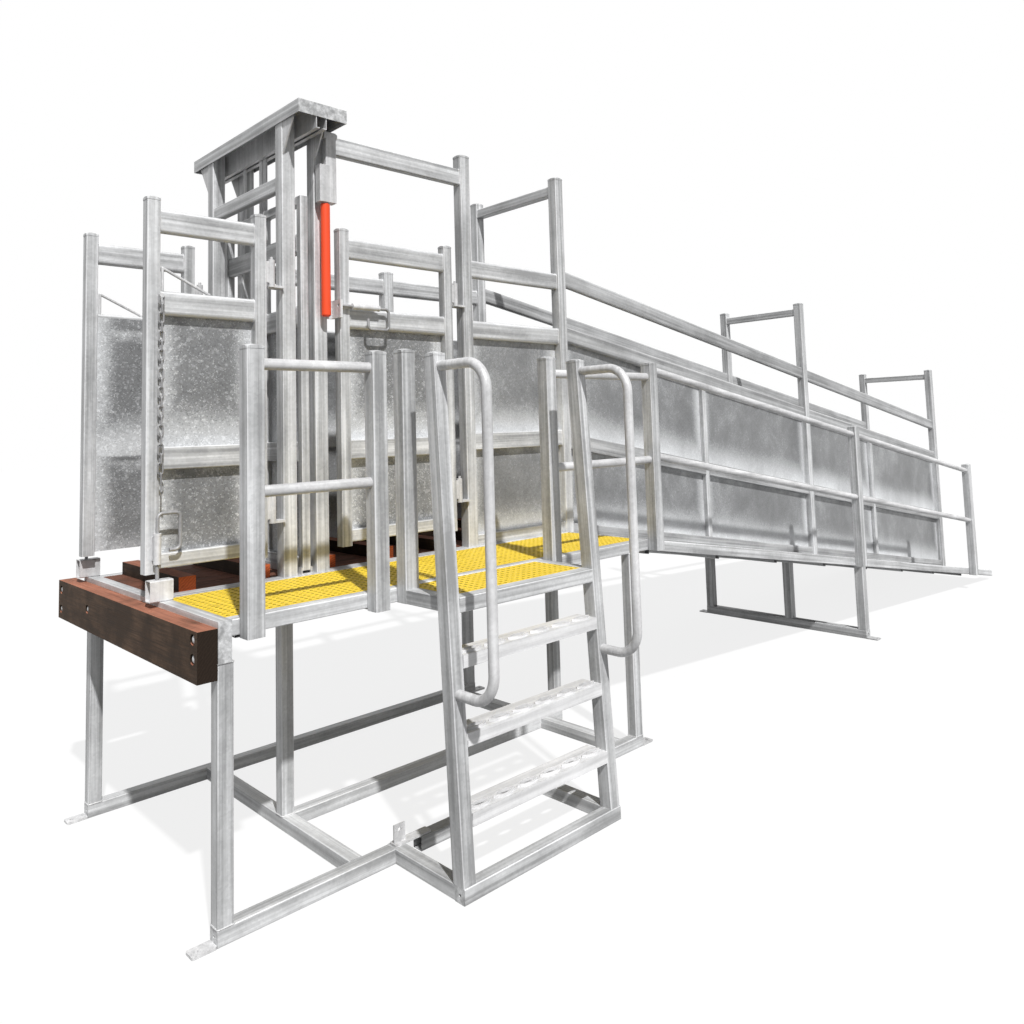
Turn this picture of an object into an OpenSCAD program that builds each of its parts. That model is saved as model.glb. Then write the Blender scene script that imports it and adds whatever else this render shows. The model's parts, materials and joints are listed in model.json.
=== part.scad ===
/* [Dock] */
// Height of the deck above the ground
deck_h = 1200; // [1100:10:1300]
// Distance from the bumper's face to the knee where the ramp begins
dock_l = 2790; // [2760:10:2900]
// Width of the catwalk, from the edge beam's outside to the wall posts
catwalk_w = 690; // [660:5:740]
// Clear width of the race between its wall posts
race_w = 775; // [745:5:820]
// Side of the square tubes in the ground frame, the legs and the deck beams
frame_w = 65; // [60:1:70]
// Wall thickness of the tubes
tube_wall = 3; // [2:0.5:5]
// Outer corner radius of the tubes
tube_r = 6; // [4:0.5:8]
// Side of the square posts
post_w = 75; // [70:1:80]
// Height of the dome on a post cap
cap_dome = 7; // [4:1:10]
// Height of a post cap's rim
cap_rim = 14; // [10:1:20]
// Distance by which a post cap stands out all round
cap_lip = 1.5; // [1:0.25:2]
// Diameter of the drain hole in a closed tube's end
drain_d = 12; // [8:1:14]
// Position of the front cross member and the middle leg
cross_x = 690; // [640:10:720]
// Position of the rear cross members
rear_cross_x = 2470; // [2300:10:2490]
// Length of the ground sills behind the bumper
sill_l = 2589; // [2570:1:2620]
// Depth of the front channel
channel_h = 160; // [140:5:180]
// Width of the front channel's flanges
channel_w = 55; // [50:1:60]
// Thickness of the front channel
channel_t = 6; // [4:1:8]
// Length of the front channel
channel_l = 1660; // [1650:5:1700]

/* [Bumper] */
// Thickness of the bumper timber
timber_t = 80; // [70:1:90]
// Height of the bumper timber
timber_h = 196; // [180:2:210]
// Length of the bumper timber
timber_l = 1810; // [1790:5:1850]
// Distance from the timber's ends to its outer bolts
bolt_edge = 45; // [40:1:60]
// Distance from the timber's far end to its inner bolt
bolt_inner = 482; // [420:2:540]
// Step from the deck down to the top of the timber
timber_drop = 24; // [15:1:40]
// Diameter of the bumper bolts
bumper_bolt_d = 20; // [16:1:24]
// Diameter of the round heads on the bumper bolts
bumper_head_d = 38; // [32:1:44]
// Depth to which the bumper bolts' heads are let into the timber
bumper_head_in = 11; // [10:0.5:14]

/* [Foot plates] */
// Length of a foot plate
plate_l = 95; // [90:1:120]
// Thickness of a foot plate
plate_t = 10; // [6:1:12]
// Height of the upright lug beside the stairs' foot
lug_h = 78; // [60:1:90]
// Diameter of the anchor hole in a foot plate
anchor_d = 18; // [14:1:22]
// Distance of the anchor hole from the plate's free end
anchor_in = 27; // [22:1:32]

/* [Floor] */
// Thickness of the floor boards and depth of the grating pans
board_t = 40; // [35:1:45]
// Gap between floor boards
board_gap = 5; // [3:1:8]
// Width of a cleat along the race
cleat_w = 80; // [60:5:90]
// Height of a cleat
cleat_h = 65; // [40:5:75]
// Distance from one cleat to the next
cleat_pitch = 375; // [370:1:380]
// Depth of the joists
joist_h = 50; // [40:2:60]
// Thickness of the grating sheet
grate_t = 4; // [3:0.5:6]

/* [Slide gate frame] */
// Front face of the front posts of the slide-gate frame
slide_x = 721; // [715:1:730]
// Gap between the front and the rear posts
slide_gap = 109; // [105:1:120]
// Height of the header above the deck
header_z = 2354; // [2330:2:2400]
// Depth of the header cap
header_h = 70; // [60:2:80]
// Overhang of the header past the wall posts
header_over = 190; // [170:5:210]
// Thickness of the header plate
header_t = 4; // [3:0.5:6]
// Thickness of a gate leaf
leaf_t = 45; // [40:1:50]
// Height of a gate leaf
leaf_h = 1960; // [1900:10:2000]
// Distance from the deck to the bottom of the gate leaves
leaf_lift = 20; // [15:1:30]
// Gap between the two closed gate leaves
leaf_gap = 5; // [3:1:10]
// Width of the overhead track
track_w = 60; // [56:1:70]
// Width of the slot under the overhead track
track_slot = 16; // [14:1:20]
// Radius of a trolley wheel
wheel_r = 22; // [18:1:24]

/* [Rails and sheets] */
// Height of an oval rail
rail_h = 115; // [100:1:125]
// Thickness of an oval rail
rail_t = 42; // [38:1:46]
// Height of the top rail's upper edge above the deck
rail_top = 1780; // [1740:10:1820]
// Height of the second rail's upper edge above the deck
rail_second = 1395; // [1350:5:1450]
// Height of the middle band's lower edge above the deck
band_z = 573; // [550:5:620]
// Height of the middle band
band_h = 103; // [90:1:110]
// Height of the bottom rail
sole_h = 65; // [55:1:75]
// Thickness of the wall and gate sheets
sheet_t = 2.5; // [1.5:0.5:4]

/* [Gates] */
// Side of the gates' square stiles
stile_w = 60; // [55:1:65]
// Length of a swing gate over its stiles
swing_l = 580; // [560:5:590]
// Distance from a hinge pin to the stile beside it
hinge_arm = 40; // [38:1:50]
// Height of a gate's lower end above the deck
gate_lift = 115; // [100:5:130]
// Height of a gate's upper end above the deck
gate_top = 1835; // [1800:5:1880]
// Length of the man gate over its stiles
man_l = 780; // [760:5:790]
// Distance by which the gates stand out from the wall posts
gate_out = 40; // [35:1:50]
// Diameter of the hinge pins
pin_d = 16; // [14:1:20]
// Radial clearance of the hinge pins and bolts
pin_play = 0.08; // [0.05:0.01:0.1]
// Outer diameter of the hinge barrels
barrel_d = 34; // [30:1:38]

/* [Bolts and chain] */
// Diameter of the rods of the drop bolts and the latch
rod_d = 16; // [14:1:18]
// Bend radius of the bolts' handles
rod_bend = 24; // [18:1:30]
// Number of chain links
chain_n = 19; // [12:1:20]
// Inner length of a chain link
chain_pitch = 43; // [38:1:44]
// Diameter of the chain's wire
chain_d = 8; // [6:1:9]
// Inner width of a chain link
chain_in = 13; // [12:1:16]

/* [Lever] */
// Reach of the lever below its pivot
lever_l = 990; // [900:10:1050]
// Diameter of the orange grip
grip_d = 50; // [44:1:56]
// Length of the orange grip
grip_l = 610; // [500:10:640]

/* [Ramp] */
// Level distance from the knee to where the floor line meets the ground
ramp_run = 7000; // [6800:50:7200]
// Height of the portals above the ramp's floor
portal_h = 2475; // [2400:5:2550]
// Height of the tall post over the deck
tall_h = 2450; // [2400:5:2500]
// Height of the bar that ties the slide-gate frame to the tall post
tie_z = 2250; // [2200:5:2300]
// Height of the crossbar in the slide-gate frame
crossbar_z = 2001; // [1950:1:2050]
// Height of the ramp's top rail above its floor
ramp_rail_top = 1825; // [1780:5:1860]
// Height of the ramp's second rail above its floor
ramp_rail_second = 1430; // [1380:5:1460]
// Height of the ramp's middle band above its floor
ramp_band_z = 575; // [550:5:620]
// Thickness of the toe plate at the ramp's foot
toe_t = 10; // [6:1:12]
// Depth of the ramp's stringers
stringer_h = 100; // [90:2:110]
// Distance of the second portal from the knee
portal2_x = 3510; // [3400:10:3600]
// Distance of the third portal from the knee
portal3_x = 6890; // [6700:10:6890]
// Length of the ramp's catwalk
ramp_walk_l = 6420; // [6000:10:6450]
// Distance of the support frame from the knee
support_x = 3005; // [2950:5:3400]

/* [Guards] */
// Outer diameter of the round guard rails
guard_d = 48.3; // [42:0.1:50]
// Height of the guard posts above the deck
guard_h = 1086; // [1050:2:1120]
// Height of the upper guard rail's centre above the deck
guard_top = 1005; // [980:5:1020]
// Height of the lower guard rail's centre above the deck
guard_mid = 490; // [450:5:550]
// Height of the ramp's guard posts above its floor
ramp_guard_h = 1140; // [1120:5:1160]
// Height of the ramp's upper guard rail above its floor
ramp_guard_top = 1060; // [1040:5:1065]
// Height of the ramp's lower guard rail above its floor
ramp_guard_mid = 520; // [480:5:560]

/* [Stairs] */
// Position of the stairs' front stile
stair_x = 885; // [870:5:900]
// Width of the stairs over the stiles
stair_w = 985; // [950:5:1000]
// Distance of the stiles' foot from the edge beam
stair_out = 480; // [450:5:520]
// Distance by which the stiles lean in over their height
stair_lean = 130; // [100:5:160]
// Height of the stiles' upper ends above the ground
stair_top = 2263; // [2200:5:2300]
// Depth of the stiles
stair_d = 75; // [70:1:80]
// Height of the lowest tread
tread_first = 335; // [300:5:350]
// Rise from one tread to the next
tread_rise = 315; // [290:5:320]
// Depth of a tread
tread_d = 130; // [115:5:180]
// Height of a tread's front face
tread_h = 55; // [45:1:65]
// Length of a raised eye on a tread
eye_l = 126; // [100:2:134]
// Width of a raised eye
eye_w = 46; // [36:1:50]
// Height of a raised eye
eye_h = 10; // [6:1:12]
// Distance from one eye to the next
eye_pitch = 142; // [138:1:180]
// Distance from a tread's front to the middle of its eyes
eye_back = 42; // [36:1:60]
// Diameter of the bent handrails
handrail_d = 45; // [40:1:50]
// Reach of the handrails in front of the edge beam
handrail_out = 655; // [620:5:680]
// Height of the handrails' lower ends above the ground
handrail_foot = 810; // [700:10:850]
// Bend radius of the handrails
handrail_bend = 120; // [100:5:140]

/* [Hidden] */
$fn = 48;

galvanised = "silver";
dull_zinc = "gainsboro";
sheet_zinc = "lightgray";
safety_yellow = "gold";
hardwood = "saddlebrown";
grip_orange = "orangered";

seat = 0.3;
knee_x = dock_l;
race_y0 = catwalk_w + post_w;
race_y1 = race_y0 + race_w;
race_mid = (race_y0 + race_y1) / 2;
mid_beam_y = catwalk_w - 25;
beam_z = deck_h - frame_w;
sill_x0 = timber_t;
sill_x1 = sill_x0 + sill_l;
deck_x0 = timber_t + channel_w;
rear_leg_x = sill_x1 - frame_w;

anchor_x0 = sill_x0 - plate_l + anchor_in;
anchor_x1 = sill_x1 + plate_l - anchor_in;
anchor_cx = (anchor_x0 + anchor_x1) / 2;
anchor_cy = (race_y1 + frame_w) / 2;

slide_rear_x = slide_x + post_w + slide_gap;
leaf_x = slide_x + post_w + (slide_gap - leaf_t) / 2 - 3;
leaf_w = (race_w + 2 * post_w - leaf_gap) / 2;
leaf_z = deck_h + leaf_lift;
header_top = deck_h + header_z + header_h;
header_x0 = slide_x - 6;
header_x1 = slide_rear_x + post_w + 17;
track_x = leaf_x + leaf_t / 2 - track_w / 2;
track_z = deck_h + header_z - 60;

man_x = slide_rear_x + post_w + 55;
man_hinge_x = man_x + man_l + hinge_arm + 5;
tall_x = man_hinge_x + 75;
swing_hinge_x = slide_x - 66;
swing_x = swing_hinge_x - hinge_arm - swing_l;
near_gate_y = catwalk_w - gate_out;
far_gate_y = race_y1;
hinge_low = 290;
hinge_high = 1478;
barrel_h = 140;

ramp_slope = deck_h / ramp_run;
ramp_a = atan(ramp_slope);
ramp_end = knee_x + portal3_x + post_w;
board_end = knee_x + (deck_h - board_t - 3) / ramp_slope;
portal_x = [knee_x + 10, knee_x + portal2_x, knee_x + portal3_x];
stud_x = [knee_x + 1745, knee_x + 4985];
stud_w = 50;

guard_y = -post_w;
landing_x = stair_x + 30;
stair_right = stair_x + stair_w - frame_w;
guard_x = [166, 756];
post_b_x = knee_x + 2875;
post_c_x = knee_x + 5660;

function floor_z(x) = deck_h - max(0, x - knee_x) * ramp_slope;
function stile_near(z) = -stair_out + stair_lean * z / stair_top;
stile_lean = atan(stair_lean / stair_top);
stile_depth = stair_d / cos(stile_lean);
landing_y = stile_near(deck_h);
landing_rear = landing_y + stile_depth + seat;

// Profile of a square or flat tube with rounded corners
module rounded(w, h, r) {
    translate([r, 0]) square([w - 2 * r, h]);
    translate([0, r]) square([w, h - 2 * r]);
    for (x = [r, w - r], y = [r, h - r]) translate([x, y]) circle(r);
}

// Profile of an oval rail, standing on its edge
module oval(w, h) {
    translate([0, w / 2]) square([w, h - w]);
    for (y = [w / 2, h - w / 2]) translate([w / 2, y]) circle(w / 2);
}

module hollow_profile(w, h) {
    difference() {
        rounded(w, h, tube_r);
        translate([tube_wall, tube_wall]) square([w - 2 * tube_wall, h - 2 * tube_wall]);
    }
}

module hollow_oval(w, h) {
    difference() {
        oval(w, h);
        translate([tube_wall, tube_wall]) oval(w - 2 * tube_wall, h - 2 * tube_wall);
    }
}

// Tubes that start at a corner and run along X, Y or Z; w lies across and h stands up
module tube_x(at, length, w, h) {
    translate(at) rotate([90, 0, 90]) linear_extrude(length) hollow_profile(w, h);
}

module tube_y(at, length, w, h) {
    translate([at[0], at[1] + length, at[2]]) rotate([90, 0, 0]) linear_extrude(length) hollow_profile(w, h);
}

// A tube with end plates, which has a hole in each for the zinc to drain; ends says which ends are closed
module closed_tube(length, w, h, ends) {
    start = ends[0] ? tube_wall : -1;
    stop = ends[1] ? length - tube_wall : length + 1;
    difference() {
        linear_extrude(length) rounded(w, h, tube_r);
        translate([tube_wall, tube_wall, start]) cube([w - 2 * tube_wall, h - 2 * tube_wall, stop - start]);
        translate([w / 2, h / 2, -2]) cylinder(d = drain_d, h = length + 4);
    }
}

module closed_tube_x(at, length, w, h, ends) {
    translate(at) rotate([90, 0, 90]) closed_tube(length, w, h, ends);
}

module closed_tube_y(at, length, w, h, ends) {
    translate([at[0], at[1] + length, at[2]]) rotate([90, 0, 0]) closed_tube(length, w, h, ends);
}

module tube_z(at, length, w, d) {
    translate(at) linear_extrude(length) hollow_profile(w, d);
}

module rail_x(at, length) {
    translate(at) rotate([90, 0, 90]) linear_extrude(length) hollow_oval(rail_t, rail_h);
}

module rail_y(at, length) {
    translate([at[0], at[1] + length, at[2]]) rotate([90, 0, 0]) linear_extrude(length) hollow_oval(rail_t, rail_h);
}

// A low domed cap that fits over the end of a post of side w
module cap(at, w, d) {
    size = w + 2 * cap_lip;
    dome_r = (size * size / 4 + cap_dome * cap_dome) / (2 * cap_dome);
    top = cap_rim + cap_dome;
    translate(at) intersection() {
        translate([-cap_lip, -cap_lip, 0]) linear_extrude(top) rounded(size, d + 2 * cap_lip, tube_r + cap_lip);
        translate([w / 2, d / 2, top - dome_r]) sphere(dome_r);
        translate([w / 2, d / 2, top - dome_r]) cylinder(r = w, h = dome_r + 1);
    }
}

// A post with its cap; top is the height of the finished post
module capped_post(at, top, w, d) {
    tube_z(at, top - at[2] - 3 - cap_dome, w, d);
    cap([at[0], at[1], top - cap_rim - cap_dome], w, d);
}

// A flat plate with rounded vertical edges
module plate(at, size, r = 8) {
    translate(at) linear_extrude(size[2]) rounded(size[0], size[1], r);
}

module round_bar_x(at, length, d) {
    translate(at) rotate([0, 90, 0]) cylinder(d = d, h = length);
}

module round_bar_y(at, length, d) {
    translate(at) rotate([-90, 0, 0]) cylinder(d = d, h = length);
}

function heading(p, q) = atan2(q[1] - p[1], q[0] - p[0]);
function turn_at(pts, i) = let(d = heading(pts[i], pts[i + 1]) - heading(pts[i - 1], pts[i])) d - 360 * round(d / 360);
function trim_at(pts, i, bend) = i == 0 || i == len(pts) - 1 ? 0 : bend * tan(abs(turn_at(pts, i)) / 2);

module round_profile(d, wall) {
    difference() {
        circle(d = d);
        if (wall > 0) circle(d = d - 2 * wall);
    }
}

// A round rod, or a tube where it has a wall, that lies in the XY plane and bends through a few points
module bent_rod(pts, d, bend, wall = 0) {
    for (i = [0 : len(pts) - 2]) {
        run = norm(pts[i + 1] - pts[i]) - trim_at(pts, i, bend) - trim_at(pts, i + 1, bend);
        translate(pts[i]) rotate([0, 0, heading(pts[i], pts[i + 1])]) translate([trim_at(pts, i, bend), 0, 0])
            rotate([0, 90, 0]) linear_extrude(run) round_profile(d, wall);
    }
    for (i = [1 : len(pts) - 2]) {
        turn = turn_at(pts, i);
        translate(pts[i]) rotate([0, 0, heading(pts[i - 1], pts[i])])
            translate([-trim_at(pts, i, bend), sign(turn) * bend, 0]) rotate([0, 0, turn > 0 ? -90 : 90 + turn])
                rotate_extrude(angle = abs(turn)) translate([bend, 0]) round_profile(d, wall);
    }
}

// Everything is drawn from the bumper's face and moved so that the dock's anchor pattern is at the origin
module placed() {
    translate([-anchor_cx, -anchor_cy, 0]) children();
}

module ground_sills() {
    color(galvanised) placed() {
        closed_tube_x([sill_x0, 0, 0], stair_x - sill_x0, frame_w, frame_w, [true, false]);
        closed_tube_x([stair_x + 145, 0, 0], sill_x1 - stair_x - 145, frame_w, frame_w, [false, true]);
        tube_x([cross_x + frame_w, mid_beam_y, 0], sill_x1 - cross_x - frame_w, frame_w, frame_w);
        closed_tube_x([sill_x0, race_y1, 0], sill_l, frame_w, frame_w, [true, true]);
    }
}

module cross_members() {
    color(galvanised) placed() {
        tube_y([cross_x, frame_w, 0], race_y1 - frame_w, frame_w, frame_w);
        tube_y([rear_cross_x, frame_w, 0], mid_beam_y - frame_w, frame_w, frame_w);
        tube_y([rear_cross_x, mid_beam_y + frame_w, 0], race_y1 - mid_beam_y - frame_w, frame_w, frame_w);
        closed_tube_y([knee_x + support_x, 0, 0], race_y1 + post_w, post_w, post_w, [true, true]);
    }
}

module dock_legs() {
    color(galvanised) placed() {
        for (y = [0, race_y1]) tube_z([sill_x0, y, frame_w], deck_h - channel_h - frame_w, frame_w, frame_w);
        tube_z([cross_x, mid_beam_y, frame_w], beam_z - frame_w, frame_w, frame_w);
        for (y = [0, mid_beam_y, race_y1]) tube_z([rear_leg_x, y, frame_w], beam_z - frame_w, frame_w, frame_w);
    }
}

module anchor_plate(at, size, hole) {
    difference() {
        plate(at, [size[0], size[1], plate_t]);
        translate([hole[0], hole[1], -1]) cylinder(d = anchor_d, h = plate_t + 2);
    }
}

module foot_plates() {
    color(dull_zinc) placed() {
        for (y = [0, race_y1]) {
            anchor_plate([sill_x0 - plate_l, y, 0], [plate_l, frame_w], [anchor_x0, y + frame_w / 2]);
            anchor_plate([sill_x1, y, 0], [plate_l, frame_w], [anchor_x1, y + frame_w / 2]);
        }
        leg_x = knee_x + support_x;
        anchor_plate([leg_x, -plate_l, 0], [post_w, plate_l], [leg_x + post_w / 2, anchor_in - plate_l]);
        anchor_plate([leg_x, race_y1 + post_w, 0], [post_w, plate_l],
            [leg_x + post_w / 2, race_y1 + post_w + plate_l - anchor_in]);
        plate([stair_x + 8, 6, frame_w], [200, frame_w - 12, 8]);
        difference() {
            translate([stair_x + 14, 28, frame_w + 7]) cube([60, 8, lug_h]);
            round_bar_y([stair_x + 44, 27, frame_w + lug_h - 18], 10, anchor_d);
        }
    }
}

module front_channel() {
    web_x = timber_t;
    color(galvanised) placed() difference() {
        translate([web_x, -5, deck_h - channel_h]) cube([channel_w, channel_l, channel_h]);
        translate([web_x + channel_t, channel_t - 5, deck_h - channel_h + channel_t])
            cube([channel_w, channel_l, channel_h - 2 * channel_t]);
        for (p = bolt_spots) round_bar_x([web_x - 1, p[0], p[1]], channel_t + 2, bumper_bolt_d + 1);
    }
}

module deck_beams() {
    run = knee_x - deck_x0;
    color(galvanised) placed() {
        tube_x([deck_x0, 0, beam_z], run, frame_w, frame_w);
        tube_x([deck_x0, mid_beam_y, beam_z], run, race_y0 - mid_beam_y, frame_w);
        tube_x([deck_x0, race_y1, beam_z], run, post_w, frame_w);
    }
}

module floor_joists() {
    z = deck_h - board_t - joist_h;
    color(galvanised) placed() {
        for (x = [deck_x0 + 40 : (knee_x - deck_x0 - 140) / 4 : knee_x - 90]) {
            tube_y([x, frame_w, z], mid_beam_y - frame_w, joist_h, joist_h);
            tube_y([x, race_y0, z], race_w, joist_h, joist_h);
        }
        for (x = [60 : 800 : 5700]) on_slope() {
            tube_y([x, frame_w, -board_t - joist_h], catwalk_w - frame_w, joist_h, joist_h);
            tube_y([x, race_y0, -board_t - joist_h], race_w, joist_h, joist_h);
        }
    }
}

// Places of the bumper's bolts across the timber and above the ground
timber_z = deck_h - timber_drop - timber_h;
bolt_spots = [[bolt_edge, timber_z + 162], [bolt_edge, timber_z + 88], [timber_l - bolt_inner, timber_z + 106],
    [timber_l - bolt_edge, timber_z + 51], [timber_l - bolt_edge, timber_z + 150]];

module bumper_timber() {
    color(hardwood) placed() difference() {
        translate([0, 0, timber_z]) cube([timber_t, timber_l, timber_h]);
        for (p = bolt_spots) {
            round_bar_x([-1, p[0], p[1]], timber_t + 2, bumper_bolt_d + 1);
            round_bar_x([-1, p[0], p[1]], bumper_head_in + 1, bumper_head_d + 4);
        }
    }
}

module bumper_bolts() {
    color(dull_zinc) placed() for (p = bolt_spots) {
        back = p[0] < channel_l - 5 ? timber_t + channel_t : timber_t;
        round_bar_x([bumper_head_in, p[0], p[1]], back + 22 - bumper_head_in, bumper_bolt_d);
        dome_r = 24;
        intersection() {
            translate([dome_r + 1, p[0], p[1]]) sphere(dome_r);
            round_bar_x([1, p[0], p[1]], bumper_head_in - 1, bumper_head_d);
        }
        translate([back, p[0], p[1]]) rotate([0, 90, 0]) cylinder(d = 36, h = 16, $fn = 6);
    }
}

module floor_boards() {
    n = 5;
    w = (race_w - seat - (n - 1) * board_gap) / n;
    color(hardwood) placed() for (i = [0 : n - 1]) {
        y = race_y0 + seat / 2 + i * (w + board_gap);
        translate([deck_x0, y, deck_h - board_t]) cube([knee_x - 3 - deck_x0, w, board_t]);
        ramp_solid(knee_x + 3, board_end, y, w, -board_t, 0);
    }
}

module floor_cleats() {
    color(hardwood) placed() {
        for (x = [230 : cleat_pitch : knee_x - cleat_w - 40])
            translate([x, race_y0 + 5, deck_h]) cube([cleat_w, race_w - 10, cleat_h]);
        for (u = [160 : cleat_pitch : 6500]) on_slope() translate([u, race_y0 + 5, seat / 2])
            cube([cleat_w, race_w - 10, cleat_h * 0.7]);
    }
}

// Slope coordinates: X runs down the floor line from the knee, Z stands square to it
module on_slope() {
    translate([knee_x, 0, deck_h]) rotate([0, ramp_a, 0]) children();
}

// A solid between two upright planes and two heights above the floor line
module ramp_solid(x0, x1, y, w, h0, h1) {
    translate([0, y + w, 0]) rotate([90, 0, 0]) linear_extrude(w)
        polygon([[x0, floor_z(x0) + h0], [x1, floor_z(x1) + h0], [x1, floor_z(x1) + h1], [x0, floor_z(x0) + h1]]);
}

// Cuts what runs down the slope between two upright planes
module between(x0, x1) {
    intersection() {
        children();
        translate([x0, -500, 0]) cube([x1 - x0, 3000, 6000]);
    }
}

// A folded pan, open below, that fills a strip of the walkway
module pan(length, w) {
    difference() {
        cube([length, w, board_t]);
        translate([-1, grate_t, -1]) cube([length + 2, w - 2 * grate_t, board_t + 1 - grate_t]);
    }
}

module deck_grating() {
    half = (knee_x - deck_x0 - 3 * board_gap) / 2;
    strip = (mid_beam_y - frame_w - 3 * 3) * 0.63;
    color(safety_yellow) placed() {
        for (i = [0, 1]) translate([deck_x0 + board_gap + i * (half + board_gap), frame_w + 3, deck_h - board_t]) {
            pan(half, strip);
            translate([0, strip + 3, 0]) pan(half, mid_beam_y - frame_w - 9 - strip);
        }
        translate([landing_x + post_w, landing_rear, deck_h - board_t])
            pan(stair_right - landing_x - post_w, -landing_rear);
    }
}

module ramp_grating() {
    n = 4;
    run = (ramp_walk_l - 40) / n;
    w = catwalk_w - frame_w - 6;
    color(sheet_zinc) placed() for (i = [0 : n - 1]) on_slope()
        translate([10 + i * (run + board_gap), frame_w + 3, -board_t]) pan(run, w);
}

module guard_posts() {
    color(galvanised) placed() {
        for (x = guard_x) capped_post([x, guard_y, beam_z - 10], deck_h + guard_h, post_w, post_w);
        for (x = [landing_x, stair_right + frame_w, knee_x])
            capped_post([x, guard_y, beam_z], deck_h + guard_h + 14, post_w, post_w);
        for (x = [post_b_x, post_c_x]) {
            z = floor_z(x + post_w / 2);
            capped_post([x, guard_y, z - frame_w], z + ramp_guard_h, post_w, post_w);
        }
    }
}

module guard_tube(at, length) {
    translate(at) rotate([0, 90, 0]) difference() {
        cylinder(d = guard_d, h = length);
        translate([0, 0, -1]) cylinder(d = guard_d - 2 * tube_wall, h = length + 2);
    }
}

module guard_rails() {
    y = guard_y + post_w / 2;
    color(dull_zinc) placed() {
        for (z = [guard_mid, guard_top]) {
            guard_tube([guard_x[0] + post_w, y, deck_h + z], guard_x[1] - guard_x[0] - post_w);
            x = stair_right + frame_w + post_w;
            guard_tube([x, y, deck_h + z], knee_x - x);
        }
        for (h = [ramp_guard_mid, ramp_guard_top], span = [[knee_x + post_w, post_b_x], [post_b_x + post_w, post_c_x]])
            between(span[0], span[1]) on_slope() guard_tube([-400, y, h * cos(ramp_a)], ramp_run + 400);
    }
}

module slide_posts() {
    color(galvanised) placed() for (x = [slide_x, slide_rear_x], y = [catwalk_w, race_y1])
        tube_z([x, y, deck_h], header_top - header_t - deck_h, post_w, post_w);
}

module header_cap() {
    l = race_w + 2 * post_w + 2 * header_over;
    color(galvanised) placed() difference() {
        translate([header_x0, catwalk_w - header_over, header_top - header_h])
            cube([header_x1 - header_x0, l, header_h]);
        translate([header_x0 + header_t, catwalk_w - header_over + header_t, header_top - header_h - 1])
            cube([header_x1 - header_x0 - 2 * header_t, l - 2 * header_t, header_h + 1 - header_t]);
    }
}

// A triangular plate under the header, beside a post; side is -1 for the near end and 1 for the far end
module gusset(x, y, side) {
    translate([x, y, header_top - header_t]) rotate([90, 0, 90]) linear_extrude(8)
        polygon([[0, 0], [side * 110, 0], [side * 110, -header_h], [0, -header_h - 170]]);
}

module header_gussets() {
    color(dull_zinc) placed() for (x = [slide_x + 4, slide_rear_x + 2]) {
        gusset(x, catwalk_w, -1);
        gusset(x, race_y1 + post_w, 1);
    }
}

// The bars across the race: one in the slide-gate frame and one under the top of each portal
module frame_crossbar() {
    color(galvanised) placed() {
        tube_y([slide_x + 5, race_y0, deck_h + crossbar_z], race_w, 45, 74);
        for (x = portal_x)
            tube_y([x + 5, race_y0, floor_z(x) + portal_h - 60 - frame_w], race_w, frame_w, frame_w);
    }
}

// The overhead track that the trolleys run in, and the channel on the floor that keeps the leaves in line
module leaf_tracks() {
    y0 = catwalk_w - header_over + header_t;
    l = race_w + 2 * post_w + 2 * (header_over - header_t);
    track_h = header_top - header_t - track_z;
    guide_x = leaf_x - 3 - 4;
    guide_w = leaf_t + 14;
    color(dull_zinc) placed() {
        difference() {
            translate([track_x, y0, track_z]) cube([track_w, l, track_h]);
            translate([track_x + 4, y0 - 1, track_z + 4]) cube([track_w - 8, l + 2, track_h - 8]);
            translate([track_x + (track_w - track_slot) / 2, y0 - 1, track_z - 1]) cube([track_slot, l + 2, 6]);
        }
        difference() {
            translate([guide_x, catwalk_w, deck_h]) cube([guide_w, race_w + 2 * post_w, leaf_lift + 15]);
            translate([guide_x + 4, catwalk_w - 1, deck_h + 4]) cube([guide_w - 8, race_w + 2 * post_w + 2, leaf_lift + 15]);
        }
    }
}

// The far leaf is the near leaf mirrored across the race
module mirrored_over_race() {
    translate([0, 2 * race_mid, 0]) mirror([0, 1, 0]) children();
}

module leaf_stiles() {
    for (y = [catwalk_w, catwalk_w + leaf_w - leaf_t]) tube_z([leaf_x, y, leaf_z], leaf_h, leaf_t, leaf_t);
}

module leaf_rails() {
    y = catwalk_w + leaf_t;
    l = leaf_w - 2 * leaf_t;
    x = leaf_x + (leaf_t - rail_t) / 2;
    for (z = [rail_top + 5, rail_second]) rail_y([x, y, deck_h + z - rail_h], l);
    tube_y([x, y, deck_h + band_z], l, rail_t, band_h);
    tube_y([x, y, leaf_z], l, rail_t, sole_h);
    tube_y([leaf_x, y, leaf_z + leaf_h - leaf_t], l, leaf_t, leaf_t);
}

module leaf_sheet() {
    translate([leaf_x + (leaf_t + rail_t) / 2, catwalk_w + leaf_t, leaf_z])
        cube([sheet_t, leaf_w - 2 * leaf_t, rail_second - leaf_lift - rail_t / 2]);
}

// Each trolley hangs the leaf's head from two wheels in the track
module leaf_trolleys() {
    mid_x = leaf_x + leaf_t / 2;
    axle_z = track_z + 4 + wheel_r + seat;
    for (y = [catwalk_w + leaf_w / 2, catwalk_w + leaf_w - leaf_t / 2]) {
        translate([mid_x - 5, y - 16, leaf_z + leaf_h]) cube([10, 32, axle_z + 14 - leaf_z - leaf_h]);
        round_bar_x([mid_x - 22, y, axle_z], 44, 12);
        for (x = [mid_x - 21, mid_x + 9]) round_bar_x([x, y, axle_z], 12, 2 * wheel_r);
    }
}

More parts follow.
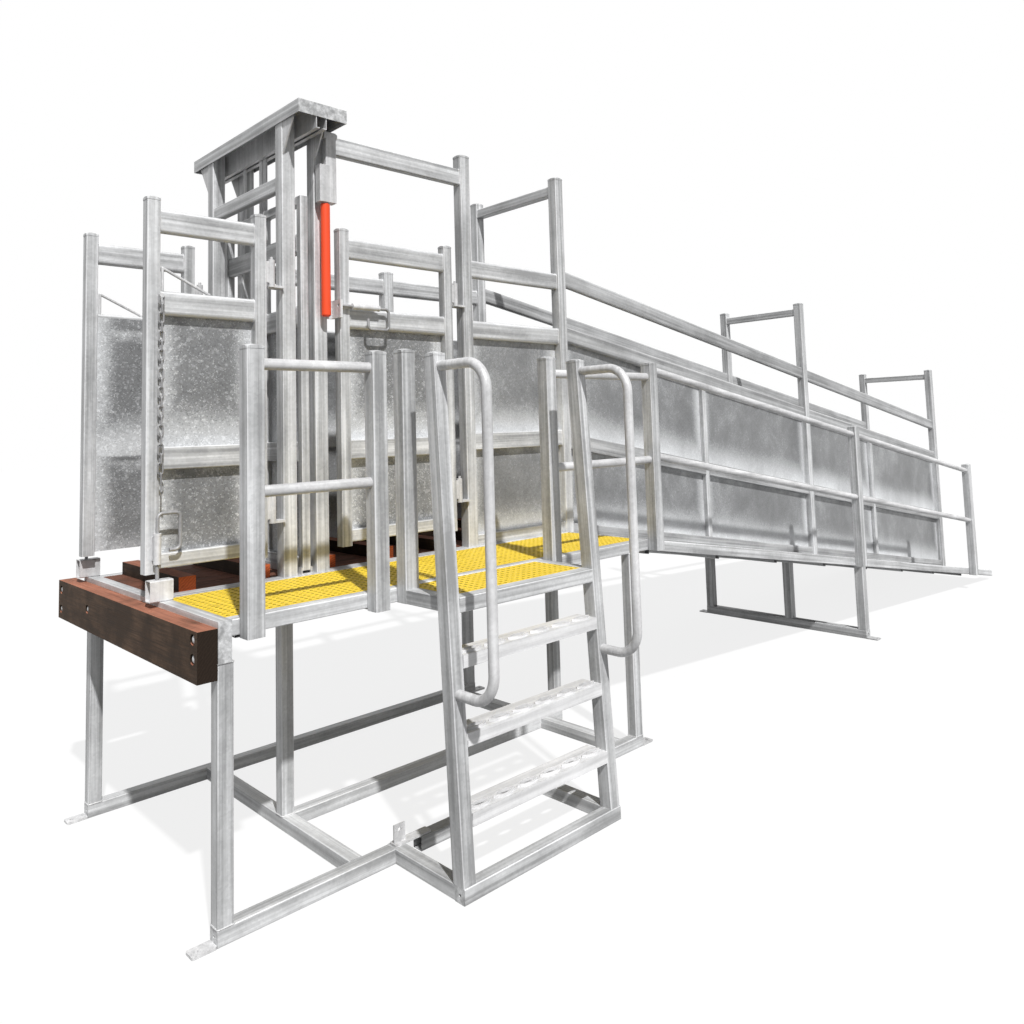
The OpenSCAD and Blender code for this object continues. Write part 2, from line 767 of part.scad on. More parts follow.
module near_leaf_stiles() { color(galvanised) placed() leaf_stiles(); }
module near_leaf_rails() { color(galvanised) placed() leaf_rails(); }
module near_leaf_sheet() { color(sheet_zinc) placed() leaf_sheet(); }
module near_leaf_trolleys() { color(dull_zinc) placed() leaf_trolleys(); }
module far_leaf_stiles() { color(galvanised) placed() mirrored_over_race() leaf_stiles(); }
module far_leaf_rails() { color(galvanised) placed() mirrored_over_race() leaf_rails(); }
module far_leaf_sheet() { color(sheet_zinc) placed() mirrored_over_race() leaf_sheet(); }
module far_leaf_trolleys() { color(dull_zinc) placed() mirrored_over_race() leaf_trolleys(); }

// Pivot of the lever, under the header's near end
lever_x = slide_rear_x + 39;
lever_y = catwalk_w - 44;
lever_z = deck_h + header_z - 30;
lever_w = 64;
lever_pin_d = 20;
grip_top = lever_z - lever_l + grip_l;

module lever_bar() {
    sleeve_top = lever_z - 173;
    color(dull_zinc) placed() difference() {
        union() {
            translate([lever_x, lever_y - 20, sleeve_top - 20]) linear_extrude(lever_z + 14 - sleeve_top + 20)
                rounded(lever_w, 40, tube_r);
            translate([lever_x - 40, lever_y - 27, sleeve_top - 202]) linear_extrude(202) rounded(100, 54, tube_r);
            translate([lever_x + 4, lever_y, lever_z - lever_l + 20]) cylinder(d = 30, h = lever_l - 300);
        }
        round_bar_x([lever_x - 60, lever_y, lever_z], lever_w + 120, lever_pin_d + 2 * pin_play);
    }
}

module lever_grip() {
    color(grip_orange) placed() translate([lever_x + 4, lever_y, lever_z - lever_l]) difference() {
        union() {
            translate([0, 0, 6]) cylinder(d = grip_d, h = grip_l - 12);
            cylinder(d = grip_d - 8, h = grip_l);
        }
        translate([0, 0, 20]) cylinder(d = 30, h = grip_l);
    }
}

// A pin on a lug plate that carries a hinge barrel; reach is the distance from the pin to the post
module hinge_lug(x, y, z, reach, y0, y1) {
    translate([x, y, z - 12]) cylinder(d = barrel_d, h = 12);
    translate([x, y0, z - 12]) cube([reach, y1 - y0, 12]);
    translate([x, y, z - 1]) cylinder(d = pin_d, h = barrel_h + 6);
}

module hinge_pins() {
    color(dull_zinc) placed() {
        for (h = [hinge_low, hinge_high]) {
            z = deck_h + h - seat;
            near_y = near_gate_y + stile_w / 2;
            hinge_lug(swing_hinge_x, near_y, z, slide_x - swing_hinge_x, near_y - 10, near_y + 60);
            far_y = far_gate_y + stile_w / 2;
            hinge_lug(swing_hinge_x, far_y, z, slide_x - swing_hinge_x, far_y - 20, far_y + 15);
            hinge_lug(man_hinge_x, near_y, z, tall_x - man_hinge_x, near_y - 10, near_y + 60);
        }
        round_bar_x([lever_x - 14, lever_y, lever_z], lever_w + 22, lever_pin_d);
        round_bar_x([lever_x + lever_w + 0.5, lever_y, lever_z], 8, 34);
        translate([lever_x - 13, lever_y - 24, lever_z - 24]) cube([12, 48, header_top - header_t - lever_z + 24]);
    }
}

// A gate between two stiles: x0 is its front end, y0 its near face and l its length
module gate_stiles(x0, y0, l) {
    for (x = [x0, x0 + l - stile_w])
        capped_post([x, y0, deck_h + gate_lift], deck_h + gate_top, stile_w, stile_w);
}

module gate_rails(x0, y0, l) {
    y = y0 + (stile_w - rail_t) / 2;
    run = l - 2 * stile_w;
    for (z = [rail_top, rail_second]) rail_x([x0 + stile_w, y, deck_h + z - rail_h], run);
    tube_x([x0 + stile_w, y, deck_h + band_z], run, rail_t, band_h);
    tube_x([x0 + stile_w, y, deck_h + gate_lift + 20], run, rail_t, sole_h);
}

// The sheet lies on the rails' race side; side is 1 where the race is on the far side of the gate
module gate_sheet(x0, y0, l, side) {
    y = y0 + stile_w / 2 + (side > 0 ? rail_t / 2 : -rail_t / 2 - sheet_t);
    translate([x0 + stile_w, y, deck_h + gate_lift + 20])
        cube([l - 2 * stile_w, sheet_t, rail_second - gate_lift - 20 - rail_t / 2]);
}

// A barrel and the plate that ties it to the stile's rear face
module hinge_barrel(x, y, z, stile_x) {
    difference() {
        union() {
            translate([x, y, z]) cylinder(d = barrel_d, h = barrel_h - 10);
            translate([stile_x, y - 8, z + 10]) cube([x - stile_x, 16, barrel_h - 30]);
        }
        translate([x, y, z - 1]) cylinder(d = pin_d + 2 * pin_play, h = barrel_h);
    }
}

// Distance from a gate's outer face to the centre of its drop bolt or latch
bolt_out = 8 + rod_d / 2 + 9;
drop_x = swing_x + 44;
catch_h = 93;
sleeve_z = 160;
sleeve_l = 135;

// The drop bolt's guide: a ribbed sleeve on a plate that is welded to the stile's outer face
module drop_sleeve(y, out) {
    z = deck_h + sleeve_z;
    difference() {
        union() {
            translate([drop_x, y, z]) cylinder(d = rod_d + 16, h = sleeve_l);
            for (h = [0, sleeve_l - 12]) translate([drop_x, y, z + h]) cylinder(d = rod_d + 18, h = 12);
            translate([drop_x - 15, out > 0 ? y : y - bolt_out, z + 15]) cube([30, bolt_out, sleeve_l - 30]);
        }
        translate([drop_x, y, z - 1]) cylinder(d = rod_d + 2 * pin_play, h = sleeve_l + 2);
    }
}

module drop_bolt(y) {
    tip = deck_h + catch_h + 0.5;
    top = deck_h + sleeve_z + sleeve_l + 87;
    color(dull_zinc) placed() translate([drop_x, y, 0]) rotate([90, 0, 0])
        bent_rod([[0, tip], [0, top], [100, top], [100, top - 165], [52, top - 165]], rod_d, rod_bend);
}

// The bent rod that stands on a swing gate's second rail
module gate_rod(y0) {
    rise = 108;
    run = 222;
    d = 14;
    translate([swing_x + 78, y0 + stile_w / 2, deck_h + rail_second + seat]) {
        cylinder(d = d, h = rise);
        translate([0, 0, rise]) sphere(d = d);
        difference() {
            translate([0, 0, rise]) rotate([0, 90 + atan(rise / run), 0]) cylinder(d = d, h = norm([rise, run]));
            translate([0, -d, -2 * d]) cube([run + 2 * d, 2 * d, 2 * d]);
        }
    }
}

chain_x = swing_x + 56;
chain_y = near_gate_y - 22;
chain_top = deck_h + rail_second - 30;

module near_gate_stiles() { color(galvanised) placed() gate_stiles(swing_x, near_gate_y, swing_l); }
module near_gate_rails() { color(galvanised) placed() gate_rails(swing_x, near_gate_y, swing_l); }
module near_gate_sheet() { color(sheet_zinc) placed() gate_sheet(swing_x, near_gate_y, swing_l, 1); }

module near_gate_fittings() {
    color(dull_zinc) placed() {
        for (h = [hinge_low, hinge_high])
            hinge_barrel(swing_hinge_x, near_gate_y + stile_w / 2, deck_h + h, swing_x + swing_l);
        drop_sleeve(near_gate_y - bolt_out, 1);
        gate_rod(near_gate_y);
        round_bar_y([chain_x, chain_y - 9, chain_top], near_gate_y - chain_y + 9, 10);
        round_bar_y([chain_x, chain_y - 12, chain_top], 4, 20);
    }
}

module far_gate_stiles() { color(galvanised) placed() gate_stiles(swing_x, far_gate_y, swing_l); }
module far_gate_rails() { color(galvanised) placed() gate_rails(swing_x, far_gate_y, swing_l); }
module far_gate_sheet() { color(sheet_zinc) placed() gate_sheet(swing_x, far_gate_y, swing_l, -1); }

module far_gate_fittings() {
    color(dull_zinc) placed() {
        for (h = [hinge_low, hinge_high])
            hinge_barrel(swing_hinge_x, far_gate_y + stile_w / 2, deck_h + h, swing_x + swing_l);
        drop_sleeve(far_gate_y + stile_w + bolt_out, -1);
        gate_rod(far_gate_y);
    }
}

module near_drop_bolt() { drop_bolt(near_gate_y - bolt_out); }
module far_drop_bolt() { drop_bolt(far_gate_y + stile_w + bolt_out); }

// One link, standing upright in the XZ plane with its centre at the origin
module chain_link() {
    r = (chain_in + chain_d) / 2;
    straight = chain_pitch - chain_in;
    for (s = [-1, 1]) {
        translate([s * r, 0, -straight / 2]) cylinder(d = chain_d, h = straight);
        translate([0, 0, s * straight / 2]) rotate([90, 0, 0]) rotate([0, 0, s > 0 ? 0 : 180])
            rotate_extrude(angle = 180) translate([r, 0]) circle(d = chain_d);
    }
}

module gate_chain() {
    step = chain_pitch - seat;
    first = chain_top + 5 + seat - chain_pitch / 2;
    color(dull_zinc) placed() translate([chain_x, chain_y, 0]) {
        for (i = [0 : chain_n - 1]) translate([0, 0, first - i * step]) rotate([0, 0, i % 2 * 90]) chain_link();
        // The hook's upper turn hangs in the last link's lower turn
        wire = chain_d - 1;
        turn = 9;
        crown = first - (chain_n - 1) * step - chain_pitch / 2 + seat + wire / 2;
        rotate([0, 0, chain_n % 2 * -90]) translate([0, 0, crown]) rotate([90, 0, 0])
            bent_rod([[-turn, -24], [-turn, 0], [turn, 0], [turn, -86], [3 * turn, -86], [3 * turn, -60]], wire, turn - 0.1);
    }
}

module catch_box(y) {
    difference() {
        tube_x([drop_x - 40, y - 30, deck_h], 100, 60, catch_h);
        translate([drop_x, y, deck_h + catch_h - 10]) cylinder(d = rod_d + 3, h = 20);
    }
}

// Height of the man gate's latch above the deck
latch_z = 1397;
latch_y = near_gate_y - bolt_out;
latch_plate_x = man_x - 26;

module bolt_catches() {
    post_x = slide_rear_x + post_w;
    color(dull_zinc) placed() {
        catch_box(near_gate_y - bolt_out);
        catch_box(far_gate_y + stile_w + bolt_out);
        difference() {
            translate([0, 0, deck_h + latch_z - 67]) linear_extrude(97) polygon([[post_x, catwalk_w],
                [latch_plate_x, catwalk_w], [latch_plate_x, latch_y - 20], [latch_plate_x + 14, latch_y - 20],
                [latch_plate_x + 14, catwalk_w + 14], [post_x, catwalk_w + 14]]);
            round_bar_x([latch_plate_x - 5, latch_y, deck_h + latch_z], 30, rod_d + 3);
        }
    }
}

module man_gate_stiles() { color(galvanised) placed() gate_stiles(man_x, near_gate_y, man_l); }
module man_gate_rails() { color(galvanised) placed() gate_rails(man_x, near_gate_y, man_l); }
module man_gate_sheet() { color(sheet_zinc) placed() gate_sheet(man_x, near_gate_y, man_l, 1); }

module man_gate_fittings() {
    x = man_x + 59;
    z = deck_h + latch_z;
    color(dull_zinc) placed() {
        for (h = [hinge_low, hinge_high])
            hinge_barrel(man_hinge_x, near_gate_y + stile_w / 2, deck_h + h, man_x + man_l);
        difference() {
            union() {
                round_bar_x([x, latch_y, z], 173, rod_d + 16);
                translate([man_x + 5, latch_y + rod_d / 2 + 4, z - 12]) cube([200, bolt_out - rod_d / 2 - 4, 24]);
                translate([x + 10, latch_y, z - 12]) cube([150, bolt_out, 24]);
            }
            round_bar_x([x - 60, latch_y, z], 300, rod_d + 2 * pin_play);
        }
    }
}

module man_gate_latch() {
    z = deck_h + latch_z;
    tip = latch_plate_x + 14 + 0.5;
    color(dull_zinc) placed() translate([0, latch_y, 0]) rotate([90, 0, 0])
        bent_rod([[tip, z], [man_x + 295, z], [man_x + 295, z - 118], [man_x + 160, z - 118], [man_x + 160, z - 60]],
            rod_d, rod_bend);
}

// Cuts a post's foot to the slope of the ramp's floor
module on_floor_line() {
    difference() {
        children();
        translate([0, 2500, 0]) rotate([90, 0, 0]) linear_extrude(3000)
            polygon([[knee_x - 1000, -100], [knee_x - 1000, deck_h], [knee_x, deck_h],
                [knee_x + ramp_run, 0], [knee_x + ramp_run, -100]]);
    }
}

module wall_posts() {
    color(galvanised) placed() {
        capped_post([tall_x, catwalk_w, deck_h], deck_h + tall_h, post_w, post_w);
        capped_post([tall_x, race_y1, deck_h], deck_h + gate_top, post_w, post_w);
        for (x = portal_x, y = [catwalk_w, race_y1]) on_floor_line()
            capped_post([x, y, floor_z(x) - 40], floor_z(x) + portal_h, post_w, post_w);
        for (x = stud_x, y = [catwalk_w, race_y1]) difference() {
            tube_z([x, y + (post_w - rail_t) / 2, floor_z(x)], ramp_rail_second, stud_w, rail_t);
            ramp_solid(x - 10, x + stud_w + 10, y, post_w, -200, sole_h / cos(ramp_a));
            ramp_solid(x - 10, x + stud_w + 10, y, post_w, ramp_rail_second - rail_h / cos(ramp_a), 2000);
        }
    }
}

// Rails of a fixed wall panel between two posts, in the middle of the posts' depth
module panel_rails(x0, x1, wall_y) {
    y = wall_y + (post_w - rail_t) / 2;
    for (z = [rail_top, rail_second]) rail_x([x0, y, deck_h + z - rail_h], x1 - x0);
    tube_x([x0, y, deck_h + band_z + 12], x1 - x0, rail_t, band_h);
    tube_x([x0, y, deck_h], x1 - x0, rail_t, sole_h);
}

module wall_rails() {
    rear_x = slide_rear_x + post_w;
    bar_y = catwalk_w + 12;
    color(galvanised) placed() {
        panel_rails(tall_x + post_w, portal_x[0], catwalk_w);
        panel_rails(rear_x, tall_x, race_y1);
        panel_rails(tall_x + post_w, portal_x[0], race_y1);
        tube_x([rear_x, bar_y, deck_h + tie_z], tall_x - rear_x, 50, 100);
    }
}

module panel_sheet(x0, x1, wall_y, side) {
    y = wall_y + post_w / 2 + (side > 0 ? rail_t / 2 : -rail_t / 2 - sheet_t);
    translate([x0, y, deck_h]) cube([x1 - x0, sheet_t, rail_second - rail_t / 2]);
}

module wall_sheets() {
    color(sheet_zinc) placed() {
        panel_sheet(tall_x + post_w, portal_x[0], catwalk_w, 1);
        panel_sheet(slide_rear_x + post_w, tall_x, race_y1, -1);
        panel_sheet(tall_x + post_w, portal_x[0], race_y1, -1);
    }
}

// A hollow bar that runs down the slope between two upright planes; h is its lower edge above the floor
module ramp_tube(x0, x1, y, w, h, height) {
    between(x0, x1) on_slope() tube_x([(x0 - knee_x) / cos(ramp_a) - 400, y, h * cos(ramp_a)],
        (x1 - x0) / cos(ramp_a) + 800, w, height);
}

module ramp_oval(x0, x1, y, top) {
    between(x0, x1) on_slope() rail_x([(x0 - knee_x) / cos(ramp_a) - 400, y, top * cos(ramp_a) - rail_h],
        (x1 - x0) / cos(ramp_a) + 800);
}

module ramp_rails() {
    color(galvanised) placed() for (wall_y = [catwalk_w, race_y1]) {
        y = wall_y + (post_w - rail_t) / 2;
        for (i = [0, 1]) {
            x0 = portal_x[i] + post_w;
            x1 = portal_x[i + 1];
            for (top = [ramp_rail_top, ramp_rail_second]) ramp_oval(x0, x1, y, top);
            ramp_tube(x0, x1, y, rail_t, 0, sole_h);
            for (span = [[x0, stud_x[i]], [stud_x[i] + stud_w, x1]])
                ramp_tube(span[0], span[1], y, rail_t, ramp_band_z, band_h);
        }
    }
}

module ramp_sheets() {
    color(sheet_zinc) placed() for (i = [0, 1], wall = [[catwalk_w, 1], [race_y1, -1]]) {
        y = wall[0] + post_w / 2 + (wall[1] > 0 ? rail_t / 2 + seat / 2 : -rail_t / 2 - seat / 2 - sheet_t);
        ramp_solid(portal_x[i] + post_w, portal_x[i + 1], y, sheet_t, 0, ramp_rail_second - rail_h / 2);
    }
    color(sheet_zinc) placed()
        ramp_solid(board_end + 3, knee_x + ramp_run - 75, race_y0, race_w, -toe_t, 0);
}

// The two stringers under the walls, cut level where they meet the ground, and the catwalk's edge channel
module ramp_channels() {
    color(galvanised) placed() {
        for (y = [catwalk_w, race_y1]) intersection() {
            ramp_tube(knee_x, ramp_end, y, post_w, -stringer_h / cos(ramp_a), stringer_h);
            translate([knee_x, 0, 0]) cube([ramp_run, 3000, 3000]);
        }
        ramp_tube(knee_x, knee_x + ramp_walk_l, 0, frame_w, -frame_w / cos(ramp_a), frame_w);
    }
}

module support_legs() {
    x = knee_x + support_x;
    color(galvanised) placed() {
        for (leg = [[0, frame_w], [catwalk_w, stringer_h], [race_y1, stringer_h]]) difference() {
            tube_z([x, leg[0], post_w], deck_h, post_w, post_w);
            translate([0, leg[0] - 10, 0]) ramp_solid(x - 100, x + 200, 0, post_w + 20, -leg[1] / cos(ramp_a), 2000);
        }
    }
}

// The region that one stile fills, without its hollow
module stile_block(x) {
    translate([x - 5, 0, 0]) rotate([90, 0, 90]) linear_extrude(frame_w + 10)
        polygon([[stile_near(0), 0], [stile_near(0) + stile_depth, 0],
            [stile_near(stair_top) + stile_depth, stair_top], [stile_near(stair_top), stair_top]]);
}

module stair_stiles() {
    color(galvanised) placed() for (x = [stair_x, stair_right]) difference() {
        translate([x, stile_near(0), 0]) rotate([-stile_lean, 0, 0])
            capped_post([0, 0, -20], stair_top / cos(stile_lean), frame_w, stair_d);
        translate([x - 10, -1000, -200]) cube([frame_w + 20, 1500, 200 + frame_w]);
    }
}

// Bars that run along the dock: the stairs' front sill and the landing's front bar
module stair_bars() {
    color(galvanised) placed() {
        closed_tube_x([stair_x, -stair_out, 0], stair_w, frame_w, frame_w, [true, true]);
        tube_x([stair_x + frame_w, landing_y, beam_z], stair_w - 2 * frame_w, stile_depth + seat, frame_w);
    }
}

module stair_side_bars() {
    sill_y = frame_w - stair_out;
    color(galvanised) placed() {
        tube_y([stair_x, sill_y, 0], frame_w - sill_y, frame_w, frame_w);
        tube_y([stair_right, sill_y, 0], -sill_y, frame_w, frame_w);
        tube_y([landing_x, landing_rear, beam_z], guard_y - landing_rear, frame_w, frame_w);
        tube_y([stair_right, landing_rear, beam_z], -landing_rear, frame_w, frame_w);
    }
}

// Outline of an eye: where two circles cross
module eye(l, w) {
    r = (l * l / 4 + w * w / 4) / w;
    intersection() {
        translate([0, w / 2 - r]) circle(r);
        translate([0, r - w / 2]) circle(r);
    }
}

// Places of the eyes along a tread
function eye_spots(clear_w) = let(n = floor(clear_w / eye_pitch)) [for (i = [0 : n - 1])
    [clear_w / 2 + (i - (n - 1) / 2) * eye_pitch, eye_back]];

// Folded treads whose eyes are pressed up round a slot, so that boots grip and mud falls through
module stair_treads() {
    clear_w = stair_w - 2 * frame_w;
    rim = 7;
    color(galvanised) placed() for (i = [0 : 2]) {
        z = tread_first + i * tread_rise;
        translate([stair_x + frame_w, stile_near(z - tread_h), z]) difference() {
            union() {
                difference() {
                    translate([0, 0, -tread_h]) cube([clear_w, tread_d, tread_h]);
                    translate([-1, tube_wall, -tread_h - 1])
                        cube([clear_w + 2, tread_d - 2 * tube_wall, tread_h + 1 - tube_wall]);
                }
                for (p = eye_spots(clear_w)) translate([p[0], p[1], -1]) linear_extrude(eye_h + 1) eye(eye_l, eye_w);
            }
            for (p = eye_spots(clear_w)) translate([p[0], p[1], -tube_wall - 1])
                linear_extrude(eye_h + tube_wall + 2) eye(eye_l - 4 * rim, eye_w - 2 * rim);
        }
    }
}

module stair_handrails() {
    top = stair_top - 68;
    pts = [[stile_near(top) + 20, top], [-handrail_out, top], [-handrail_out, handrail_foot],
        [stile_near(handrail_foot) + 20, handrail_foot]];
    color(dull_zinc) placed() for (x = [stair_x, stair_right]) difference() {
        translate([x + frame_w / 2, 0, 0]) rotate([90, 0, 90]) bent_rod(pts, handrail_d, handrail_bend, tube_wall);
        stile_block(x);
    }
}

ground_sills();
cross_members();
dock_legs();
foot_plates();
front_channel();
deck_beams();
floor_joists();
bumper_timber();
bumper_bolts();
floor_boards();
floor_cleats();
deck_grating();
ramp_grating();
guard_posts();
guard_rails();
slide_posts();
header_cap();
header_gussets();
frame_crossbar();
leaf_tracks();
near_leaf_stiles();
near_leaf_rails();
near_leaf_sheet();
near_leaf_trolleys();
far_leaf_stiles();
far_leaf_rails();
far_leaf_sheet();
far_leaf_trolleys();
lever_bar();
lever_grip();
hinge_pins();
bolt_catches();
near_gate_stiles();
near_gate_rails();
near_gate_sheet();
near_gate_fittings();
far_gate_stiles();
far_gate_rails();
far_gate_sheet();
far_gate_fittings();
near_drop_bolt();
far_drop_bolt();
gate_chain();
man_gate_stiles();
man_gate_rails();
man_gate_sheet();
man_gate_fittings();
man_gate_latch();
wall_posts();
wall_rails();
wall_sheets();
ramp_rails();
ramp_sheets();
ramp_channels();
support_legs();
stair_stiles();
stair_bars();
stair_side_bars();
stair_treads();
stair_handrails();
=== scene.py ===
"""A livestock loading ramp in galvanised steel, dressed around its frame."""

import json
import math

import bmesh
import bpy
from mathutils import Matrix, Vector


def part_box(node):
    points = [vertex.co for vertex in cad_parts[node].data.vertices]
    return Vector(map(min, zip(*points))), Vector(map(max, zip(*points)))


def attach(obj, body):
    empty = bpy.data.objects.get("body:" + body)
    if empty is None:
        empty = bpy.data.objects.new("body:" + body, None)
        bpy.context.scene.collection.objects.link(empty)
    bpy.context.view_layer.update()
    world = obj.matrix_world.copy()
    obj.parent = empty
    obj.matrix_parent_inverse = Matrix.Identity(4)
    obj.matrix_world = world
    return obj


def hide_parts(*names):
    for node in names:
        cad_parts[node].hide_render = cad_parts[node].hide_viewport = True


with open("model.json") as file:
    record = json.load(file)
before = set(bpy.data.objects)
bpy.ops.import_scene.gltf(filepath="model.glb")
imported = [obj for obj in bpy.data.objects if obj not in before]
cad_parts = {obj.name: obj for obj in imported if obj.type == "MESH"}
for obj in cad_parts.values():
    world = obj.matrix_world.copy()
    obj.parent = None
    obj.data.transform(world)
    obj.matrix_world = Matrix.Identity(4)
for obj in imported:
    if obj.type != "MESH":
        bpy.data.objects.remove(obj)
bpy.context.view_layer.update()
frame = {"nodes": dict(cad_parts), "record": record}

bl_info = {
    "name": "Livestock Loading Ramp",
    "version": (1, 0, 0),
    "blender": (4, 5, 0),
    "location": "View3D > Sidebar > Loading Ramp",
    "description": "Finishes, treads, timbers and welds of a livestock loading ramp",
    "category": "Object",
}

NODES = frame["nodes"]
BODY_OF = {name: body for body, names in frame["record"]["behaviour"]["bodies"].items()
           for name in names}
EPS = 1e-4
WHITE = (1, 1, 1)

# The knee at the end of the deck, where the ramp begins, and the ramp's level length and angle
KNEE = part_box("deck_beams")[1]
RAMP_RUN = 7.0
RAMP_ANGLE = math.atan2(KNEE.z, RAMP_RUN)

# How far the stairs' stiles lean over their height
STILE_OFFSET = 0.130
STILE_HEIGHT = 2.263
STILE_LEAN = math.atan2(STILE_OFFSET, STILE_HEIGHT)

# Lowest and highest heights above the floor of the lower and the upper panels of sheet
WALL_PANELS = ((0.02, 0.573), (0.676, 1.28))
RAMP_PANELS = ((0.065, 0.575), (0.68, 1.315))

# Width of the raised lip round a dimple
LIP_WIDTH = 0.0035

# A rail higher than this has half round edges, and other tube has small corners
OVAL_HEIGHT = 0.11
TUBE_CORNER = 0.006

# How far inside the end of a tube its weld bead is centred
BEAD_INSET = 0.001

# Width of the lines that drawing leaves on a tube, as a share of their length
DRAWN_LINE = 0.016


class RampSizes(bpy.types.PropertyGroup):
    """Sizes that a user would change"""
    tread_pitch: bpy.props.FloatProperty(
        name="Tread Pitch", description="Distance between the dimples of the tread planks",
        default=0.037, min=0.02, unit="LENGTH")
    dimple_radius: bpy.props.FloatProperty(
        name="Dimple Radius", description="Radius of a dimple in the tread planks",
        default=0.0064, unit="LENGTH")
    dimple_depth: bpy.props.FloatProperty(
        name="Dimple Depth", description="Depth of a dimple in the tread planks",
        default=0.007, unit="LENGTH")
    lip_height: bpy.props.FloatProperty(
        name="Lip Height", description="Height of the raised lip round a dimple",
        default=0.0022, unit="LENGTH")
    weld_size: bpy.props.FloatProperty(
        name="Weld Size", description="Radius of the weld beads",
        default=0.0035, unit="LENGTH")


class RampFinishes(bpy.types.PropertyGroup):
    """Colours that a user would change"""
    zinc: bpy.props.FloatVectorProperty(
        name="Zinc", description="Colour of the galvanised tube", subtype="COLOR",
        default=(0.47, 0.475, 0.48))
    sheet: bpy.props.FloatVectorProperty(
        name="Sheet", description="Colour of the galvanised sheet", subtype="COLOR",
        default=(0.22, 0.224, 0.228))
    bright_zinc: bpy.props.FloatVectorProperty(
        name="Bright Zinc", description="Colour of the fittings, treads, bare planks and round rails",
        subtype="COLOR", default=(0.56, 0.56, 0.565))
    tread: bpy.props.FloatVectorProperty(
        name="Tread", description="Colour of the yellow tread planks", subtype="COLOR",
        default=(0.70, 0.50, 0.034))
    timber: bpy.props.FloatVectorProperty(
        name="Timber", description="Colour of the weathered hardwood", subtype="COLOR",
        default=(0.070, 0.045, 0.030))
    # The hardwood's top: fresher wood, and lighter still as painted sunlight
    sunlit_cut_timber: bpy.props.FloatVectorProperty(
        name="Cut Timber", description="Colour of the hardwood's fresher top", subtype="COLOR",
        default=(0.36, 0.150, 0.095))
    sawn_timber: bpy.props.FloatVectorProperty(
        name="Sawn Timber", description="Colour of the cleats' sawn ends", subtype="COLOR",
        default=(0.50, 0.115, 0.040))
    chain: bpy.props.FloatVectorProperty(
        name="Chain", description="Colour of the duller zinc on chain and bolts", subtype="COLOR",
        default=(0.30, 0.30, 0.305))
    grip: bpy.props.FloatVectorProperty(
        name="Grip", description="Colour of the lever's grip", subtype="COLOR",
        default=(0.84, 0.070, 0.012))


def sizes():
    return bpy.context.scene.ramp_sizes


def finishes():
    return bpy.context.scene.ramp_finishes


def shade(colour, factor):
    return tuple(min(1, c * factor) for c in colour)


def stretch(along, coarse, fine):
    """Scale of a pattern that is coarse along one axis and fine across it"""
    return [coarse if axis == along else fine for axis in "xyz"]


class Value:
    """A socket in a node tree; an expression on it adds Math nodes"""

    def __init__(self, nodes, socket):
        self.nodes = nodes
        self.socket = socket

    def math(self, operation, *others):
        numbers = dict(enumerate((self, *others)))
        return self.nodes.add("ShaderNodeMath", {"operation": operation}, numbers)

    def __add__(self, other):
        return self.math("ADD", other)

    def __mul__(self, other):
        return self.math("MULTIPLY", other)

    def __sub__(self, other):
        return self.math("SUBTRACT", other)

    def __rsub__(self, other):
        return self * -1 + other

    __radd__ = __add__
    __rmul__ = __mul__

    @staticmethod
    def highest(values):
        total = values[0]
        for value in values[1:]:
            total = total.math("MAXIMUM", value)
        return total

    def between(self, low, high):
        """0 below low, 1 above high and smooth between"""
        return self.nodes.add("ShaderNodeMapRange", {"interpolation_type": "SMOOTHSTEP"},
                              {"Value": self, "From Min": low, "From Max": high})

    def swing(self, low, high, width):
        """Minus half of width below low, plus half of it above high and smooth between"""
        return (self.between(low, high) - 0.5) * width


class Nodes:
    """A node tree that grows by values and expressions on them"""

    def __init__(self, tree):
        self.tree = tree

    def add(self, kind, settings, inputs, output=0):
        """Adds a node of a kind with its settings, and joins values or links to its sockets"""
        node = self.tree.nodes.new(kind)
        for name, setting in settings.items():
            if name == "stops":
                self.set_stops(node.color_ramp, setting)
            else:
                setattr(node, name, setting)
        for name, value in inputs.items():
            self.join(value, node.inputs[name])
        return Value(self, node.outputs[output]) if node.outputs else None

    @staticmethod
    def set_stops(scale, stops):
        while len(scale.elements) < len(stops):
            scale.elements.new(0.5)
        for element, (position, colour) in zip(scale.elements, stops):
            element.position = position
            element.color = (*colour, 1)

    def join(self, value, socket):
        if isinstance(value, Value):
            self.tree.links.new(value.socket, socket)
        elif socket.type == "RGBA":
            socket.default_value = (*value, 1)
        else:
            socket.default_value = value

    def blend(self, factor, a, b):
        """From one shader to another"""
        return self.add("ShaderNodeMixShader", {}, {0: factor, 1: a, 2: b})

    def seen(self):
        """1 for what the camera sees, also in gloss and through glass, and 0 for what lights the ramp"""
        rays = ("Is Camera Ray", "Is Glossy Ray", "Is Transmission Ray")
        return Value.highest([self.add("ShaderNodeLightPath", {}, {}, ray) for ray in rays])


